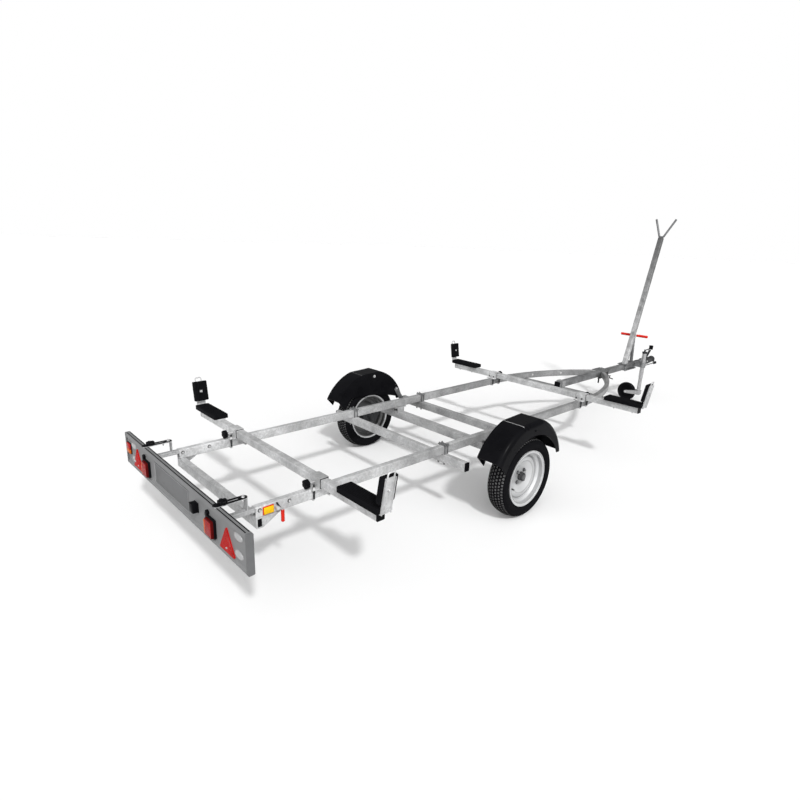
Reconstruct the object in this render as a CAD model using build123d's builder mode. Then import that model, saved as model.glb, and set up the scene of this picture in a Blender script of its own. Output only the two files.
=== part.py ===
from build123d import *
import os
from math import acos, asin, cos, degrees, hypot, radians, sin, tan

# Boat trailer for a light double hull. Millimetres, +X towards the tow ball, +Y left, +Z up.
# The origin is on the ground under the middle of the overall box.

# Road wheels
TYRE_R = 281.0
TYRE_W = 152.0
TREAD_W = 116.0
TYRE_WALL = 9.0
RIM_SEAT_R = 178.0
RIM_FLANGE_H = 18.5
RIM_LIP = 9.5
RIM_WELL_HALF = 22.0
RIM_WELL_DEPTH = 15.0
RIM_W = 134.0
RIM_WALL = 3.6
DISC_WALL = 5.0
DISC_DISH = 24.0
DISC_FOOT = 8.0
DISC_BULGE_R = 122.0
SHOULDER_DROP = 12.0
HUB_R = 62.0
HUB_L = 46.0
HUB_BORE_R = 29.0
HUB_CAP_L = 34.0
HUB_CAP_ROUND = 8.5
WHEEL_BOLT_PCD = 100.0
WHEEL_BOLT_COUNT = 4
WHEEL_BOLT_R = 9.0
WHEEL_STUD_R = 6.0
STUB_R = 15.0
TRACK = 1661.0

# Chassis tubes
RAIL_W = 40.0
RAIL_H = 60.0
RAIL_WALL = 3.0
RAIL_CORNER = 6.0
INNER_CORNER = 1.0
RAIL_GAUGE = 966.0
RAIL_BOTTOM = 435.0
RAIL_REAR_REACH = 1788.0
BOW_START_REACH = 1400.0
BOW_R = 1930.0
MEMBER_W = 40.0
MEMBER_H = 60.0
MEMBER_END_GAP = 49.0
MEMBER_AFT_REACH = 402.0
MEMBER_FORE_REACH = 341.0
FRONT_MEMBER_AHEAD = 450.0
FRONT_MEMBER_W = 60.0
FRONT_MEMBER_H = 40.0
DRAWBAR_W = 60.0
DRAWBAR_WALL = 4.0
DRAWBAR_CORNER = 8.0
DRAWBAR_TAIL = 66.0
DRAWBAR_AHEAD = 1112.0
COLLAR_T = 5.0
GUSSET_L = 100.0
GUSSET_T = 5.0
CAP_T = 6.0

# Axle
BEAM_W = 60.0
BEAM_WALL = 5.0
BEAM_REACH = 80.0
BEAM_Z = 366.0
ARM_T = 20.0
ARM_GAP = 16.0
ARM_END_R = 32.0
SADDLE_L = 120.0
SADDLE_W = 60.0
SADDLE_T = 6.0

# Crossbars with their clamps and hull supports
CROSSBAR_W = 50.0
CROSSBAR_HALF = 990.0
CROSSBAR_REAR_SETBACK = 392.0
CROSSBAR_FRONT_SETBACK = 8.0
CLAMP_PLATE_L = 140.0
CLAMP_PLATE_W = 90.0
CLAMP_PLATE_T = 5.0
U_BOLT_R = 5.0
U_BOLT_SPREAD = 104.0
KNOB_R = 24.0
KNOB_LOBES = 6
KNOB_GROOVE_R = 5.0
KNOB_T = 18.0
KNOB_STEM_L = 44.0
PAD_W = 100.0
PAD_L = 318.0
PAD_T = 32.0
PAD_EDGE = 5.0
BRACKET_W = 62.0
BRACKET_T = 5.0
BRACKET_H = 200.0
BRACKET_LIP = 12.0
BRACKET_LIP_T = 4.0
BRACKET_LEAN = 9.0
BRACKET_OVERHANG = 32.0
SIDE_PAD_H = 142.0
SIDE_PAD_T = 26.0
SIDE_PAD_RISE = 62.0
EYELET_R = 4.0
EYELET_SPAN = 42.0
EYELET_H = 30.0
EYELET_BEND_R = 10.5

# Mudguards
GUARD_W = 182.0
GUARD_WALL = 4.0
GUARD_R = 416.0
GUARD_REAR_ANGLE = 151.5
GUARD_CREASE_REAR_ANGLE = 107.0
GUARD_CREASE_FRONT_ANGLE = 79.0
GUARD_FRONT_ANGLE = 20.0
GUARD_FRONT_R = 372.0
GUARD_LIP_REAR_ANGLE = 158.0
GUARD_LIP_FRONT_ANGLE = 24.0
GUARD_LIP_R = 314.0
GUARD_INNER_RISE = 205.0
GUARD_ROUND = 34.0
GUARD_CREASE_R = 24.0
GUARD_OVERRUN = 60.0
STAY_T = 5.0
STAY_R = 20.0
STAY_BACK = 60.0
STAY_RISE = 90.0

# Post with its mast fork
POST_W = 50.0
POST_WALL = 3.0
POST_SETBACK = 570.0
POST_LEAN = 17.2
POST_L = 1480.0
PLATE_T = 6.0
POST_PLATE_L = 270.0
POST_PLATE_W = 110.0
POST_PLATE_AHEAD = 68.0
STRUT_W = 30.0
STRUT_CORNER = 4.5
STRUT_FOOT = 165.0
STRUT_H = 300.0
FORK_BAR_R = 11.0
FORK_FOOT_HALF = 22.0
FORK_BEND_R = 20.0
FORK_HALF = 111.0
FORK_H = 205.0
HANDLE_R = 12.0
HANDLE_HALF = 154.0
HANDLE_H = 320.0

# Joint of the two bows on the drawbar
BOW_PLATE_L = 160.0
BOW_PLATE_W = 150.0
PLATE_BOLT_R = 6.0

# Ball coupling
COUPLING_SLEEVE_L = 110.0
COUPLING_WALL = 5.0
COUPLING_NECK_L = 165.0
COUPLING_NECK_W = 63.0
COUPLING_NECK_H = 46.0
BALL_R = 25.0
BALL_PLAY = 0.6
BALL_HOUSING_R = 42.0
BALL_SKIRT = 24.0
LEVER_W = 26.0
LEVER_L = 90.0
LEVER_FOOT_L = 55.0
LEVER_T = 8.0
LEVER_RISE = 88.0

# Jockey wheel
JOCKEY_SETBACK = 290.0
JOCKEY_Y = -95.0
JOCKEY_TUBE_R = 24.0
JOCKEY_TUBE_WALL = 2.6
JOCKEY_TUBE_BOTTOM = 310.0
JOCKEY_TUBE_TOP = 604.0
JOCKEY_LEG_L = 296.0
JOCKEY_LEG_WALL = 3.0
JOCKEY_PIN_R = 10.0
JOCKEY_TRAIL = 143.0
JOCKEY_WHEEL_R = 110.0
JOCKEY_WHEEL_W = 54.0
JOCKEY_HUB_R = 20.0
JOCKEY_TYRE_R = 68.0
JOCKEY_SHOULDER_R = 94.0
JOCKEY_WEB_HALF = 9.0
JOCKEY_BEAD_HALF = 22.0
JOCKEY_AXLE_R = 8.0
FORK_HEAD_R = 26.0
FORK_HEAD_H = 50.0
FORK_HEAD_DROP = 10.0
FORK_ARM_T = 5.0
FORK_ARM_H = 34.0
CRANK_REACH = 160.0
CRANK_RISE = 40.0
CRANK_ROD_R = 6.0
CRANK_BOSS_R = 9.0
CRANK_GRIP_R = 14.0
CRANK_GRIP_H = 44.0
CLAMP_RING_T = 8.0
CLAMP_ROD_L = 290.0
CLAMP_ROD_RISE = 15.0

# Light board on its slide bars
BOARD_SETBACK = 203.0
BOARD_T = 30.0
BOARD_WALL = 4.0
BOARD_HALF = 809.0
BOARD_BOTTOM = 355.0
BOARD_H = 202.0
BOARD_LEDGE = 22.0
BOARD_LIP = 12.0
BOARD_RECESS = 6.0
END_CAP_T = 14.0
END_CAP_PROUD = 2.0
PLATE_AREA_W = 466.0
PLATE_AREA_H = 116.0
PLATE_AREA_Y = 76.0
PLATE_AREA_DEPTH = 1.5
SLIDE_W = 30.0
SLIDE_H = 25.0
SLIDE_WALL = 2.5
SLIDE_L = 1300.0
HANGER_W = 36.0
HANGER_T = 5.0
HANGER_KNOB_REACH = 45.0
HANGER_GAP = 38.0
LAMP_W = 96.0
LAMP_H = 100.0
LAMP_T = 28.0
LAMP_Y = 440.0
LAMP_RISE = 84.0
LAMP_CORNER = 10.0
REFLECTOR_SIDE = 150.0
REFLECTOR_T = 8.0
REFLECTOR_Y = 605.0
REFLECTOR_RISE = 66.0
PLATE_LAMP_W = 46.0
PLATE_LAMP_H = 54.0
PLATE_LAMP_T = 34.0
PLATE_LAMP_Y = -268.0
PLATE_LAMP_RISE = 118.0
CORNER_LAMP_W = 66.0
CORNER_LAMP_H = 70.0
CORNER_LAMP_T = 14.0
CORNER_LAMP_Y = 754.0
CORNER_LAMP_RISE = 114.0
MARKER_L = 64.0
MARKER_H = 48.0
MARKER_T = 12.0
MARKER_SETBACK = 68.0
SLIDE_LEVER_SETBACK = 114.0
SLIDE_LEVER_R = 5.0
SLIDE_LEVER_OUT = 15.0
LEVER_BOSS_R = 10.0
LEVER_BOSS_L = 25.0
LEVER_ARM = 28.0
LEVER_FALL = 16.0
LEVER_BEND_R = 6.0
LEVER_TURN_LEFT = 60.0
LEVER_TURN_RIGHT = 0.0
GRIP_R = 8.0
GRIP_L = 62.0

# Clearances
FIT_GAP = 0.3
RUN_GAP = 0.5
SLIDE_GAP = 0.5
U_BOLT_GAP = 1.2
BOLT_GAP = 3.0

# Places worked out from the sizes above
BOW_TURN = degrees(acos(1 - (RAIL_GAUGE / 2 - DRAWBAR_W / 2 + RAIL_W) / BOW_R))
BOW_TIP_REACH = BOW_START_REACH + BOW_R * sin(radians(BOW_TURN))
DRAWBAR_FRONT_REACH = BOW_TIP_REACH + DRAWBAR_AHEAD
COUPLING_REACH = DRAWBAR_FRONT_REACH + COUPLING_NECK_L + BALL_HOUSING_R
REAR_REACH = RAIL_REAR_REACH + BOARD_SETBACK + max(LAMP_T, PLATE_LAMP_T) - BOARD_RECESS
AXLE_X = (REAR_REACH - COUPLING_REACH) / 2
SIDES = (("left", 1), ("right", -1))
RAIL_Y = RAIL_GAUGE / 2
RAIL_TOP = RAIL_BOTTOM + RAIL_H
RAIL_MID_Z = RAIL_BOTTOM + RAIL_H / 2
RAIL_REAR_X = AXLE_X - RAIL_REAR_REACH
BOW_START_X = AXLE_X + BOW_START_REACH
ENDS = (
    ("rear", RAIL_REAR_X + CROSSBAR_REAR_SETBACK, -1),
    ("front", BOW_START_X - CROSSBAR_FRONT_SETBACK, 1),
)
BOW_TIP_X = AXLE_X + BOW_TIP_REACH
DRAWBAR_H = RAIL_H
FRONT_MEMBER_X = BOW_START_X + FRONT_MEMBER_AHEAD
DRAWBAR_REAR_X = FRONT_MEMBER_X - DRAWBAR_TAIL
DRAWBAR_FRONT_X = AXLE_X + DRAWBAR_FRONT_REACH
CROSSBAR_BOTTOM = RAIL_TOP + CLAMP_PLATE_T
CROSSBAR_TOP = CROSSBAR_BOTTOM + CROSSBAR_W
CROSSBAR_MID_Z = CROSSBAR_BOTTOM + CROSSBAR_W / 2
BEAM_X = AXLE_X + BEAM_REACH
WHEEL_Y = TRACK / 2
GUARD_IN = WHEEL_Y - GUARD_W / 2
MEMBER_HALF = GUARD_IN - MEMBER_END_GAP
ARM_OUT = WHEEL_Y - TYRE_W / 2 - ARM_GAP
BEAM_HALF = ARM_OUT - ARM_T
MEMBER_MID_Z = RAIL_BOTTOM - MEMBER_H / 2
FORE_MEMBER_X = AXLE_X + MEMBER_FORE_REACH
FRONT_MEMBER_TURN = asin(FRONT_MEMBER_AHEAD / BOW_R)
FRONT_MEMBER_HALF = RAIL_Y - BOW_R * (1 - cos(FRONT_MEMBER_TURN)) + RAIL_W / 2
RIM_FLANGE_R = RIM_SEAT_R + RIM_FLANGE_H
SLEEVE_W = CROSSBAR_W + 2 * CLAMP_PLATE_T
U_BOLT_HALF = RAIL_W / 2 + U_BOLT_R + U_BOLT_GAP
U_BOLT_LOW = RAIL_BOTTOM - U_BOLT_R - FIT_GAP
U_BOLT_TOP = CROSSBAR_BOTTOM + 4 * U_BOLT_R
BRACKET_Y = CROSSBAR_HALF + BRACKET_OVERHANG
POST_FOOT_X = DRAWBAR_FRONT_X - POST_SETBACK
POST_FOOT_Z = RAIL_TOP + PLATE_T
PLATE_BOLT_Y = DRAWBAR_W / 2 + PLATE_BOLT_R + BOLT_GAP
COUPLING_W = DRAWBAR_W + 2 * COUPLING_WALL
COUPLING_TOP = RAIL_MID_Z + COUPLING_W / 2
BALL_X = DRAWBAR_FRONT_X + COUPLING_NECK_L
BALL_Z = RAIL_MID_Z
JOCKEY_X = DRAWBAR_FRONT_X - JOCKEY_SETBACK
JOCKEY_WHEEL_Y = JOCKEY_Y + JOCKEY_TRAIL
FORK_HEAD_Z = JOCKEY_WHEEL_R - FORK_HEAD_DROP
FORK_ARM_X = JOCKEY_WHEEL_W / 2 + FORK_ARM_T
LEG_BOTTOM = FORK_HEAD_Z + FORK_HEAD_H + RUN_GAP
LEG_R = JOCKEY_TUBE_R - JOCKEY_TUBE_WALL - SLIDE_GAP
CLAMP_ROD_Z = RAIL_BOTTOM + CLAMP_ROD_RISE
BOARD_X = RAIL_REAR_X - BOARD_SETBACK
BOARD_FACE_X = BOARD_X + BOARD_RECESS
BOARD_TOP = BOARD_BOTTOM + BOARD_H
PLATE_AREA_Z = BOARD_BOTTOM + BOARD_H / 2
SLIDE_TOP = RAIL_TOP - RAIL_WALL - SLIDE_GAP
SLIDE_LEVER_X = RAIL_REAR_X + SLIDE_LEVER_SETBACK
MARKER_X = RAIL_REAR_X + MARKER_SETBACK
HANGER_L = BOARD_SETBACK - HANGER_GAP

os.makedirs("parts", exist_ok=True)


def finish(builder, name):
    """Label a finished piece and write its file."""
    builder.part.label = name
    export_step(builder.part, f"parts/{name}.step")


def tube_section(width, height, wall, corner):
    """Draw a hollow rectangle with rounded corners in the current sketch."""
    inner_corner = max(corner - wall, INNER_CORNER)
    RectangleRounded(width, height, corner)
    RectangleRounded(width - 2 * wall, height - 2 * wall, inner_corner, mode=Mode.SUBTRACT)


def straight_tube(name, start, direction, side, size, length):
    """Make a straight rectangular tube: size is width, height, wall and corner radius."""
    with BuildPart() as tube:
        with BuildSketch(Plane(origin=start, x_dir=side, z_dir=direction)):
            tube_section(*size)
        extrude(amount=length)
    finish(tube, name)


def outward_plane(x, y, z, hand):
    """Plane across the trailer that faces out of the given side, with local y up."""
    return Plane(origin=(x, y, z), x_dir=(-hand, 0, 0), z_dir=(0, hand, 0))


def wheel_plane(x, y, z, hand):
    """Plane through a wheel's axis: local x runs out along the axis, local y is the radius."""
    return Plane(origin=(x, y, z), x_dir=(0, hand, 0), z_dir=(hand, 0, 0))


def forward_plane(x, y, z):
    """Plane across the trailer that faces forward, with local x to the left and local y up."""
    return Plane(origin=(x, y, z), x_dir=(0, 1, 0), z_dir=(1, 0, 0))


# Side rails: straight tubes whose front ends bow in to the drawbar
for side, hand in SIDES:
    with BuildPart() as rail:
        with BuildLine(Plane.XY.offset(RAIL_MID_Z)):
            straight = Line((RAIL_REAR_X, hand * RAIL_Y), (BOW_START_X, hand * RAIL_Y))
            JernArc(straight @ 1, straight % 1, BOW_R, -hand * BOW_TURN)
        with BuildSketch(Plane(origin=straight @ 0, x_dir=(0, 1, 0), z_dir=(1, 0, 0))):
            tube_section(RAIL_W, RAIL_H, RAIL_WALL, RAIL_CORNER)
        sweep()
        split(bisect_by=Plane(origin=(0, hand * DRAWBAR_W / 2, 0), z_dir=(0, hand, 0)), keep=Keep.TOP)
    finish(rail, f"rail_{side}")

# Drawbar, with the front cross member that carries its rear end
straight_tube("drawbar", (DRAWBAR_REAR_X, 0, RAIL_MID_Z), (1, 0, 0), (0, 1, 0),
              (DRAWBAR_W, DRAWBAR_H, DRAWBAR_WALL, DRAWBAR_CORNER), DRAWBAR_FRONT_X - DRAWBAR_REAR_X)
with BuildPart() as front_member:
    with BuildSketch(Plane(origin=(FRONT_MEMBER_X, -FRONT_MEMBER_HALF, RAIL_BOTTOM - FRONT_MEMBER_H / 2),
                           x_dir=(1, 0, 0), z_dir=(0, 1, 0))):
        tube_section(FRONT_MEMBER_W, FRONT_MEMBER_H, RAIL_WALL, RAIL_CORNER)
    extrude(amount=2 * FRONT_MEMBER_HALF)
    collar_h = DRAWBAR_H + FIT_GAP + COLLAR_T
    with BuildSketch(forward_plane(FRONT_MEMBER_X, 0, RAIL_BOTTOM)):
        with Locations((0, collar_h / 2)):
            Rectangle(DRAWBAR_W + 2 * (FIT_GAP + COLLAR_T), collar_h)
        with Locations((0, (DRAWBAR_H + FIT_GAP) / 2)):
            Rectangle(DRAWBAR_W + 2 * FIT_GAP, DRAWBAR_H + FIT_GAP, mode=Mode.SUBTRACT)
    extrude(amount=FRONT_MEMBER_W / 2, both=True)
finish(front_member, "front_cross_member")

# Cross members under the rails: name, place along the trailer, half length
MEMBERS = (
    ("rear_cross_member", RAIL_REAR_X + MEMBER_W / 2, RAIL_Y + RAIL_W / 2),
    ("aft_cross_member", AXLE_X - MEMBER_AFT_REACH, MEMBER_HALF),
    ("fore_cross_member", FORE_MEMBER_X, MEMBER_HALF),
)
for name, centre_x, half in MEMBERS:
    straight_tube(name, (centre_x, -half, MEMBER_MID_Z), (0, 1, 0), (1, 0, 0),
                  (MEMBER_W, MEMBER_H, RAIL_WALL, RAIL_CORNER), 2 * half)

# Gussets in the corners between the rear cross member and the rails
with BuildPart() as gussets:
    for side, hand in SIDES:
        corner_x = RAIL_REAR_X + MEMBER_W
        with BuildSketch(Plane.XZ.offset(-hand * (RAIL_Y + RAIL_W / 2))):
            with BuildLine():
                Polyline((corner_x, RAIL_BOTTOM), (corner_x + GUSSET_L, RAIL_BOTTOM),
                         (corner_x, RAIL_BOTTOM - MEMBER_H), close=True)
            make_face()
        extrude(amount=hand * GUSSET_T)
finish(gussets, "rear_gussets")

# Axle beam with a welded saddle under each rail
with BuildPart() as beam:
    with BuildSketch(Plane(origin=(BEAM_X, -BEAM_HALF, BEAM_Z), x_dir=(1, 0, 0), z_dir=(0, 1, 0))):
        tube_section(BEAM_W, BEAM_W, BEAM_WALL, RAIL_CORNER)
    extrude(amount=2 * BEAM_HALF)
    for side, hand in SIDES:
        with BuildSketch(Plane.XY.offset(RAIL_BOTTOM - SADDLE_T)):
            with Locations((BEAM_X, hand * RAIL_Y)):
                Rectangle(SADDLE_L, SADDLE_W)
        extrude(amount=SADDLE_T)
        for web_y in (RAIL_Y - SADDLE_W / 2, RAIL_Y + SADDLE_W / 2 - SADDLE_T):
            with BuildSketch(Plane.XZ.offset(-hand * web_y)):
                with Locations((BEAM_X, (BEAM_Z + RAIL_BOTTOM) / 2)):
                    Rectangle(BEAM_W + 2 * SADDLE_T, RAIL_BOTTOM - BEAM_Z)
            extrude(amount=-hand * SADDLE_T)
    with BuildSketch(Plane(origin=(BEAM_X, -BEAM_HALF, BEAM_Z), x_dir=(1, 0, 0), z_dir=(0, 1, 0))):
        RectangleRounded(BEAM_W - 2 * BEAM_WALL, BEAM_W - 2 * BEAM_WALL, RAIL_CORNER - BEAM_WALL)
    extrude(amount=2 * BEAM_HALF, mode=Mode.SUBTRACT)
finish(beam, "axle_beam")

# Trailing arms with their stub axles
for side, hand in SIDES:
    with BuildPart() as arm:
        with BuildSketch(outward_plane(AXLE_X, hand * BEAM_HALF, TYRE_R, hand)):
            with Locations((0, 0), (-hand * BEAM_REACH, BEAM_Z - TYRE_R)):
                Circle(ARM_END_R)
            make_hull()
        extrude(amount=ARM_T)
        with BuildSketch(outward_plane(AXLE_X, hand * ARM_OUT, TYRE_R, hand)):
            Circle(STUB_R)
        extrude(amount=WHEEL_Y - ARM_OUT)
    finish(arm, f"swing_arm_{side}")

# Road wheels: tyre, steel rim with its dished disc, and hub
for side, hand in SIDES:
    spin_axis = Axis((AXLE_X, hand * WHEEL_Y, TYRE_R), (0, 1, 0))
    section = wheel_plane(AXLE_X, hand * WHEEL_Y, TYRE_R, hand)
    bead = RIM_W / 2 - RIM_LIP - FIT_GAP
    belly_r = (RIM_FLANGE_R + TYRE_R) / 2 - SHOULDER_DROP / 2
    with BuildPart() as tyre:
        with BuildSketch(section):
            for inset, mode in ((0, Mode.ADD), (TYRE_WALL, Mode.SUBTRACT)):
                foot = RIM_SEAT_R + FIT_GAP - inset
                with BuildLine():
                    right = Line((bead - inset, foot), (bead - inset, RIM_FLANGE_R + FIT_GAP))
                    wall_right = ThreePointArc(right @ 1, (TYRE_W / 2 - inset, belly_r),
                                               (TREAD_W / 2 - inset / 2, TYRE_R - SHOULDER_DROP - inset))
                    crown = ThreePointArc(wall_right @ 1, (0, TYRE_R - inset),
                                          (-TREAD_W / 2 + inset / 2, TYRE_R - SHOULDER_DROP - inset))
                    wall_left = ThreePointArc(crown @ 1, (-TYRE_W / 2 + inset, belly_r),
                                              (-bead + inset, RIM_FLANGE_R + FIT_GAP))
                    Polyline(wall_left @ 1, (-bead + inset, foot), right @ 0)
                make_face(mode=mode)
        revolve(axis=spin_axis)
    finish(tyre, f"tyre_{side}")

    with BuildPart() as rim:
        with BuildSketch(section):
            for inset, mode in ((0, Mode.ADD), (RIM_WALL, Mode.SUBTRACT)):
                lip = RIM_W / 2 - RIM_LIP + inset
                with BuildLine():
                    Polyline((RIM_W / 2, RIM_FLANGE_R - inset), (lip, RIM_FLANGE_R - inset),
                             (lip, RIM_SEAT_R - inset), (RIM_WELL_HALF + RIM_WELL_DEPTH, RIM_SEAT_R - inset),
                             (RIM_WELL_HALF, RIM_SEAT_R - RIM_WELL_DEPTH - inset),
                             (-RIM_WELL_HALF, RIM_SEAT_R - RIM_WELL_DEPTH - inset),
                             (-RIM_WELL_HALF - RIM_WELL_DEPTH, RIM_SEAT_R - inset),
                             (-lip, RIM_SEAT_R - inset),
                             (-lip, RIM_FLANGE_R - inset), (-RIM_W / 2, RIM_FLANGE_R - inset),
                             (-RIM_W / 2, DISC_BULGE_R), (RIM_W / 2, DISC_BULGE_R), close=True)
                make_face(mode=mode)
        revolve(axis=spin_axis)
        well_r = RIM_SEAT_R - RIM_WELL_DEPTH - RIM_WALL / 2
        with BuildSketch(section):
            with BuildLine():
                Polyline((0, HUB_BORE_R), (0, HUB_R + DISC_WALL), (DISC_DISH, DISC_BULGE_R),
                         (DISC_FOOT, well_r), (DISC_FOOT + DISC_WALL, well_r),
                         (DISC_DISH + DISC_WALL, DISC_BULGE_R),
                         (DISC_WALL, HUB_R + DISC_WALL), (DISC_WALL, HUB_BORE_R), close=True)
            make_face()
        revolve(axis=spin_axis)
        with BuildSketch(outward_plane(AXLE_X, hand * WHEEL_Y, TYRE_R, hand)):
            with PolarLocations(WHEEL_BOLT_PCD / 2, WHEEL_BOLT_COUNT, 45):
                Circle(WHEEL_STUD_R + RUN_GAP)
        extrude(amount=DISC_WALL, mode=Mode.SUBTRACT)
    finish(rim, f"rim_{side}")

    with BuildPart() as hub:
        with BuildSketch(outward_plane(AXLE_X, hand * (WHEEL_Y - HUB_L), TYRE_R, hand)):
            Circle(HUB_R)
        extrude(amount=HUB_L)
        with BuildSketch(outward_plane(AXLE_X, hand * WHEEL_Y, TYRE_R, hand)):
            Circle(HUB_BORE_R - FIT_GAP)
        extrude(amount=HUB_CAP_L)
        fillet(hub.faces().sort_by(Axis.Y)[-1 if hand > 0 else 0].edges(), HUB_CAP_ROUND)
        with BuildSketch(outward_plane(AXLE_X, hand * WHEEL_Y, TYRE_R, hand)):
            with PolarLocations(WHEEL_BOLT_PCD / 2, WHEEL_BOLT_COUNT, 45):
                Circle(WHEEL_STUD_R)
        extrude(amount=DISC_WALL + FIT_GAP)
        with BuildSketch(outward_plane(AXLE_X, hand * (WHEEL_Y + DISC_WALL + FIT_GAP), TYRE_R, hand)):
            with PolarLocations(WHEEL_BOLT_PCD / 2, WHEEL_BOLT_COUNT, 45):
                RegularPolygon(WHEEL_BOLT_R, 6)
        extrude(amount=WHEEL_BOLT_R)
        with BuildSketch(outward_plane(AXLE_X, hand * (WHEEL_Y - HUB_L), TYRE_R, hand)):
            Circle(STUB_R + RUN_GAP)
        extrude(amount=HUB_L + RUN_GAP, mode=Mode.SUBTRACT)
    finish(hub, f"hub_{side}")

# Mudguards: a hollow shell with a rounded outer edge, an arched outer lip and a deeper inner wall
def guard_point(angle, distance):
    """Point of the mudguard's side view, at an angle and distance from the wheel centre."""
    return (distance * cos(radians(angle)), distance * sin(radians(angle)))


def guard_crown(inset):
    """Draw the mudguard's running face in the current line: rear arc, flat top and front arc."""
    radius = GUARD_R - inset
    front_r = GUARD_FRONT_R - inset
    rear_mid = (GUARD_REAR_ANGLE + GUARD_CREASE_REAR_ANGLE) / 2
    front_mid = (GUARD_CREASE_FRONT_ANGLE + GUARD_FRONT_ANGLE) / 2
    rear = ThreePointArc(guard_point(GUARD_REAR_ANGLE, radius), guard_point(rear_mid, radius),
                         guard_point(GUARD_CREASE_REAR_ANGLE, radius))
    top = Line(rear @ 1, guard_point(GUARD_CREASE_FRONT_ANGLE, radius))
    front = ThreePointArc(top @ 1, guard_point(front_mid, (radius + front_r) / 2),
                          guard_point(GUARD_FRONT_ANGLE, front_r))
    return [rear, top, front]


def round_guard(builder, hand, inset):
    """Round the two creases across the running face, then its edge to the outer wall."""
    fillet(builder.edges().filter_by(Axis.Y).sort_by(Axis.Z)[-2:], GUARD_CREASE_R - inset)
    outer_wall = builder.faces().sort_by(Axis.Y)[-1 if hand > 0 else 0]
    crown = []
    for edge in outer_wall.edges():
        ends = [hypot(end.X - AXLE_X, end.Z - TYRE_R) for end in (edge @ 0, edge @ 1)]
        if min(ends) > GUARD_LIP_R + GUARD_WALL:
            crown.append(edge)
    fillet(crown, GUARD_ROUND - inset)


for side, hand in SIDES:
    view = Plane(origin=(AXLE_X, hand * GUARD_IN, TYRE_R), x_dir=(1, 0, 0), z_dir=(0, -1, 0))
    with BuildPart() as hollow:
        with BuildLine() as inside:
            rear, top, front = guard_crown(GUARD_WALL)
            front_run = Line(front @ 1, front @ 1 + (front % 1) * GUARD_OVERRUN)
            rear_run = Line(rear @ 0, rear @ 0 - (rear % 0) * GUARD_OVERRUN)
            Polyline(front_run @ 1, (0, 0), rear_run @ 1)
        with BuildSketch(view.offset(-hand * GUARD_WALL)):
            make_face(inside.edges())
        extrude(amount=-hand * (GUARD_W - 2 * GUARD_WALL))
        round_guard(hollow, hand, GUARD_WALL)
    with BuildPart() as guard:
        with BuildLine() as outside:
            rear, top, front = guard_crown(0)
            front_end = Line(front @ 1, guard_point(GUARD_LIP_FRONT_ANGLE, GUARD_LIP_R))
            arch = ThreePointArc(front_end @ 1, guard_point(90, GUARD_LIP_R),
                                 guard_point(GUARD_LIP_REAR_ANGLE, GUARD_LIP_R))
            Line(arch @ 1, rear @ 0)
        with BuildSketch(view):
            make_face(outside.edges())
        extrude(amount=-hand * GUARD_W)
        with BuildLine() as wall:
            rear, top, front = guard_crown(0)
            ThreePointArc(front @ 1, guard_point(90, GUARD_INNER_RISE), rear @ 0)
        with BuildSketch(view):
            make_face(wall.edges())
        extrude(amount=-hand * GUARD_WALL)
        round_guard(guard, hand, 0)
        add(hollow.part, mode=Mode.SUBTRACT)
    finish(guard, f"mudguard_{side}")

# Mudguard stays: a leaning strip on each inner wall, with a lug on the fore cross member's end
with BuildPart() as stays:
    for side, hand in SIDES:
        with BuildSketch(outward_plane(FORE_MEMBER_X, hand * (GUARD_IN - STAY_T), MEMBER_MID_Z, hand)):
            with Locations((0, 0), (hand * STAY_BACK, STAY_RISE)):
                Circle(STAY_R)
            make_hull()
        extrude(amount=STAY_T)
        with BuildSketch(outward_plane(FORE_MEMBER_X, hand * (MEMBER_HALF + CAP_T), MEMBER_MID_Z, hand)):
            Rectangle(STAY_R, STAY_R)
        extrude(amount=GUARD_IN - STAY_T - MEMBER_HALF - CAP_T)
finish(stays, "mudguard_stays")


def star_knob():
    """Draw a six-lobed hand knob in the current sketch."""
    Circle(KNOB_R)
    with PolarLocations(KNOB_R, KNOB_LOBES):
        Circle(KNOB_GROOVE_R, mode=Mode.SUBTRACT)


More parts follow.
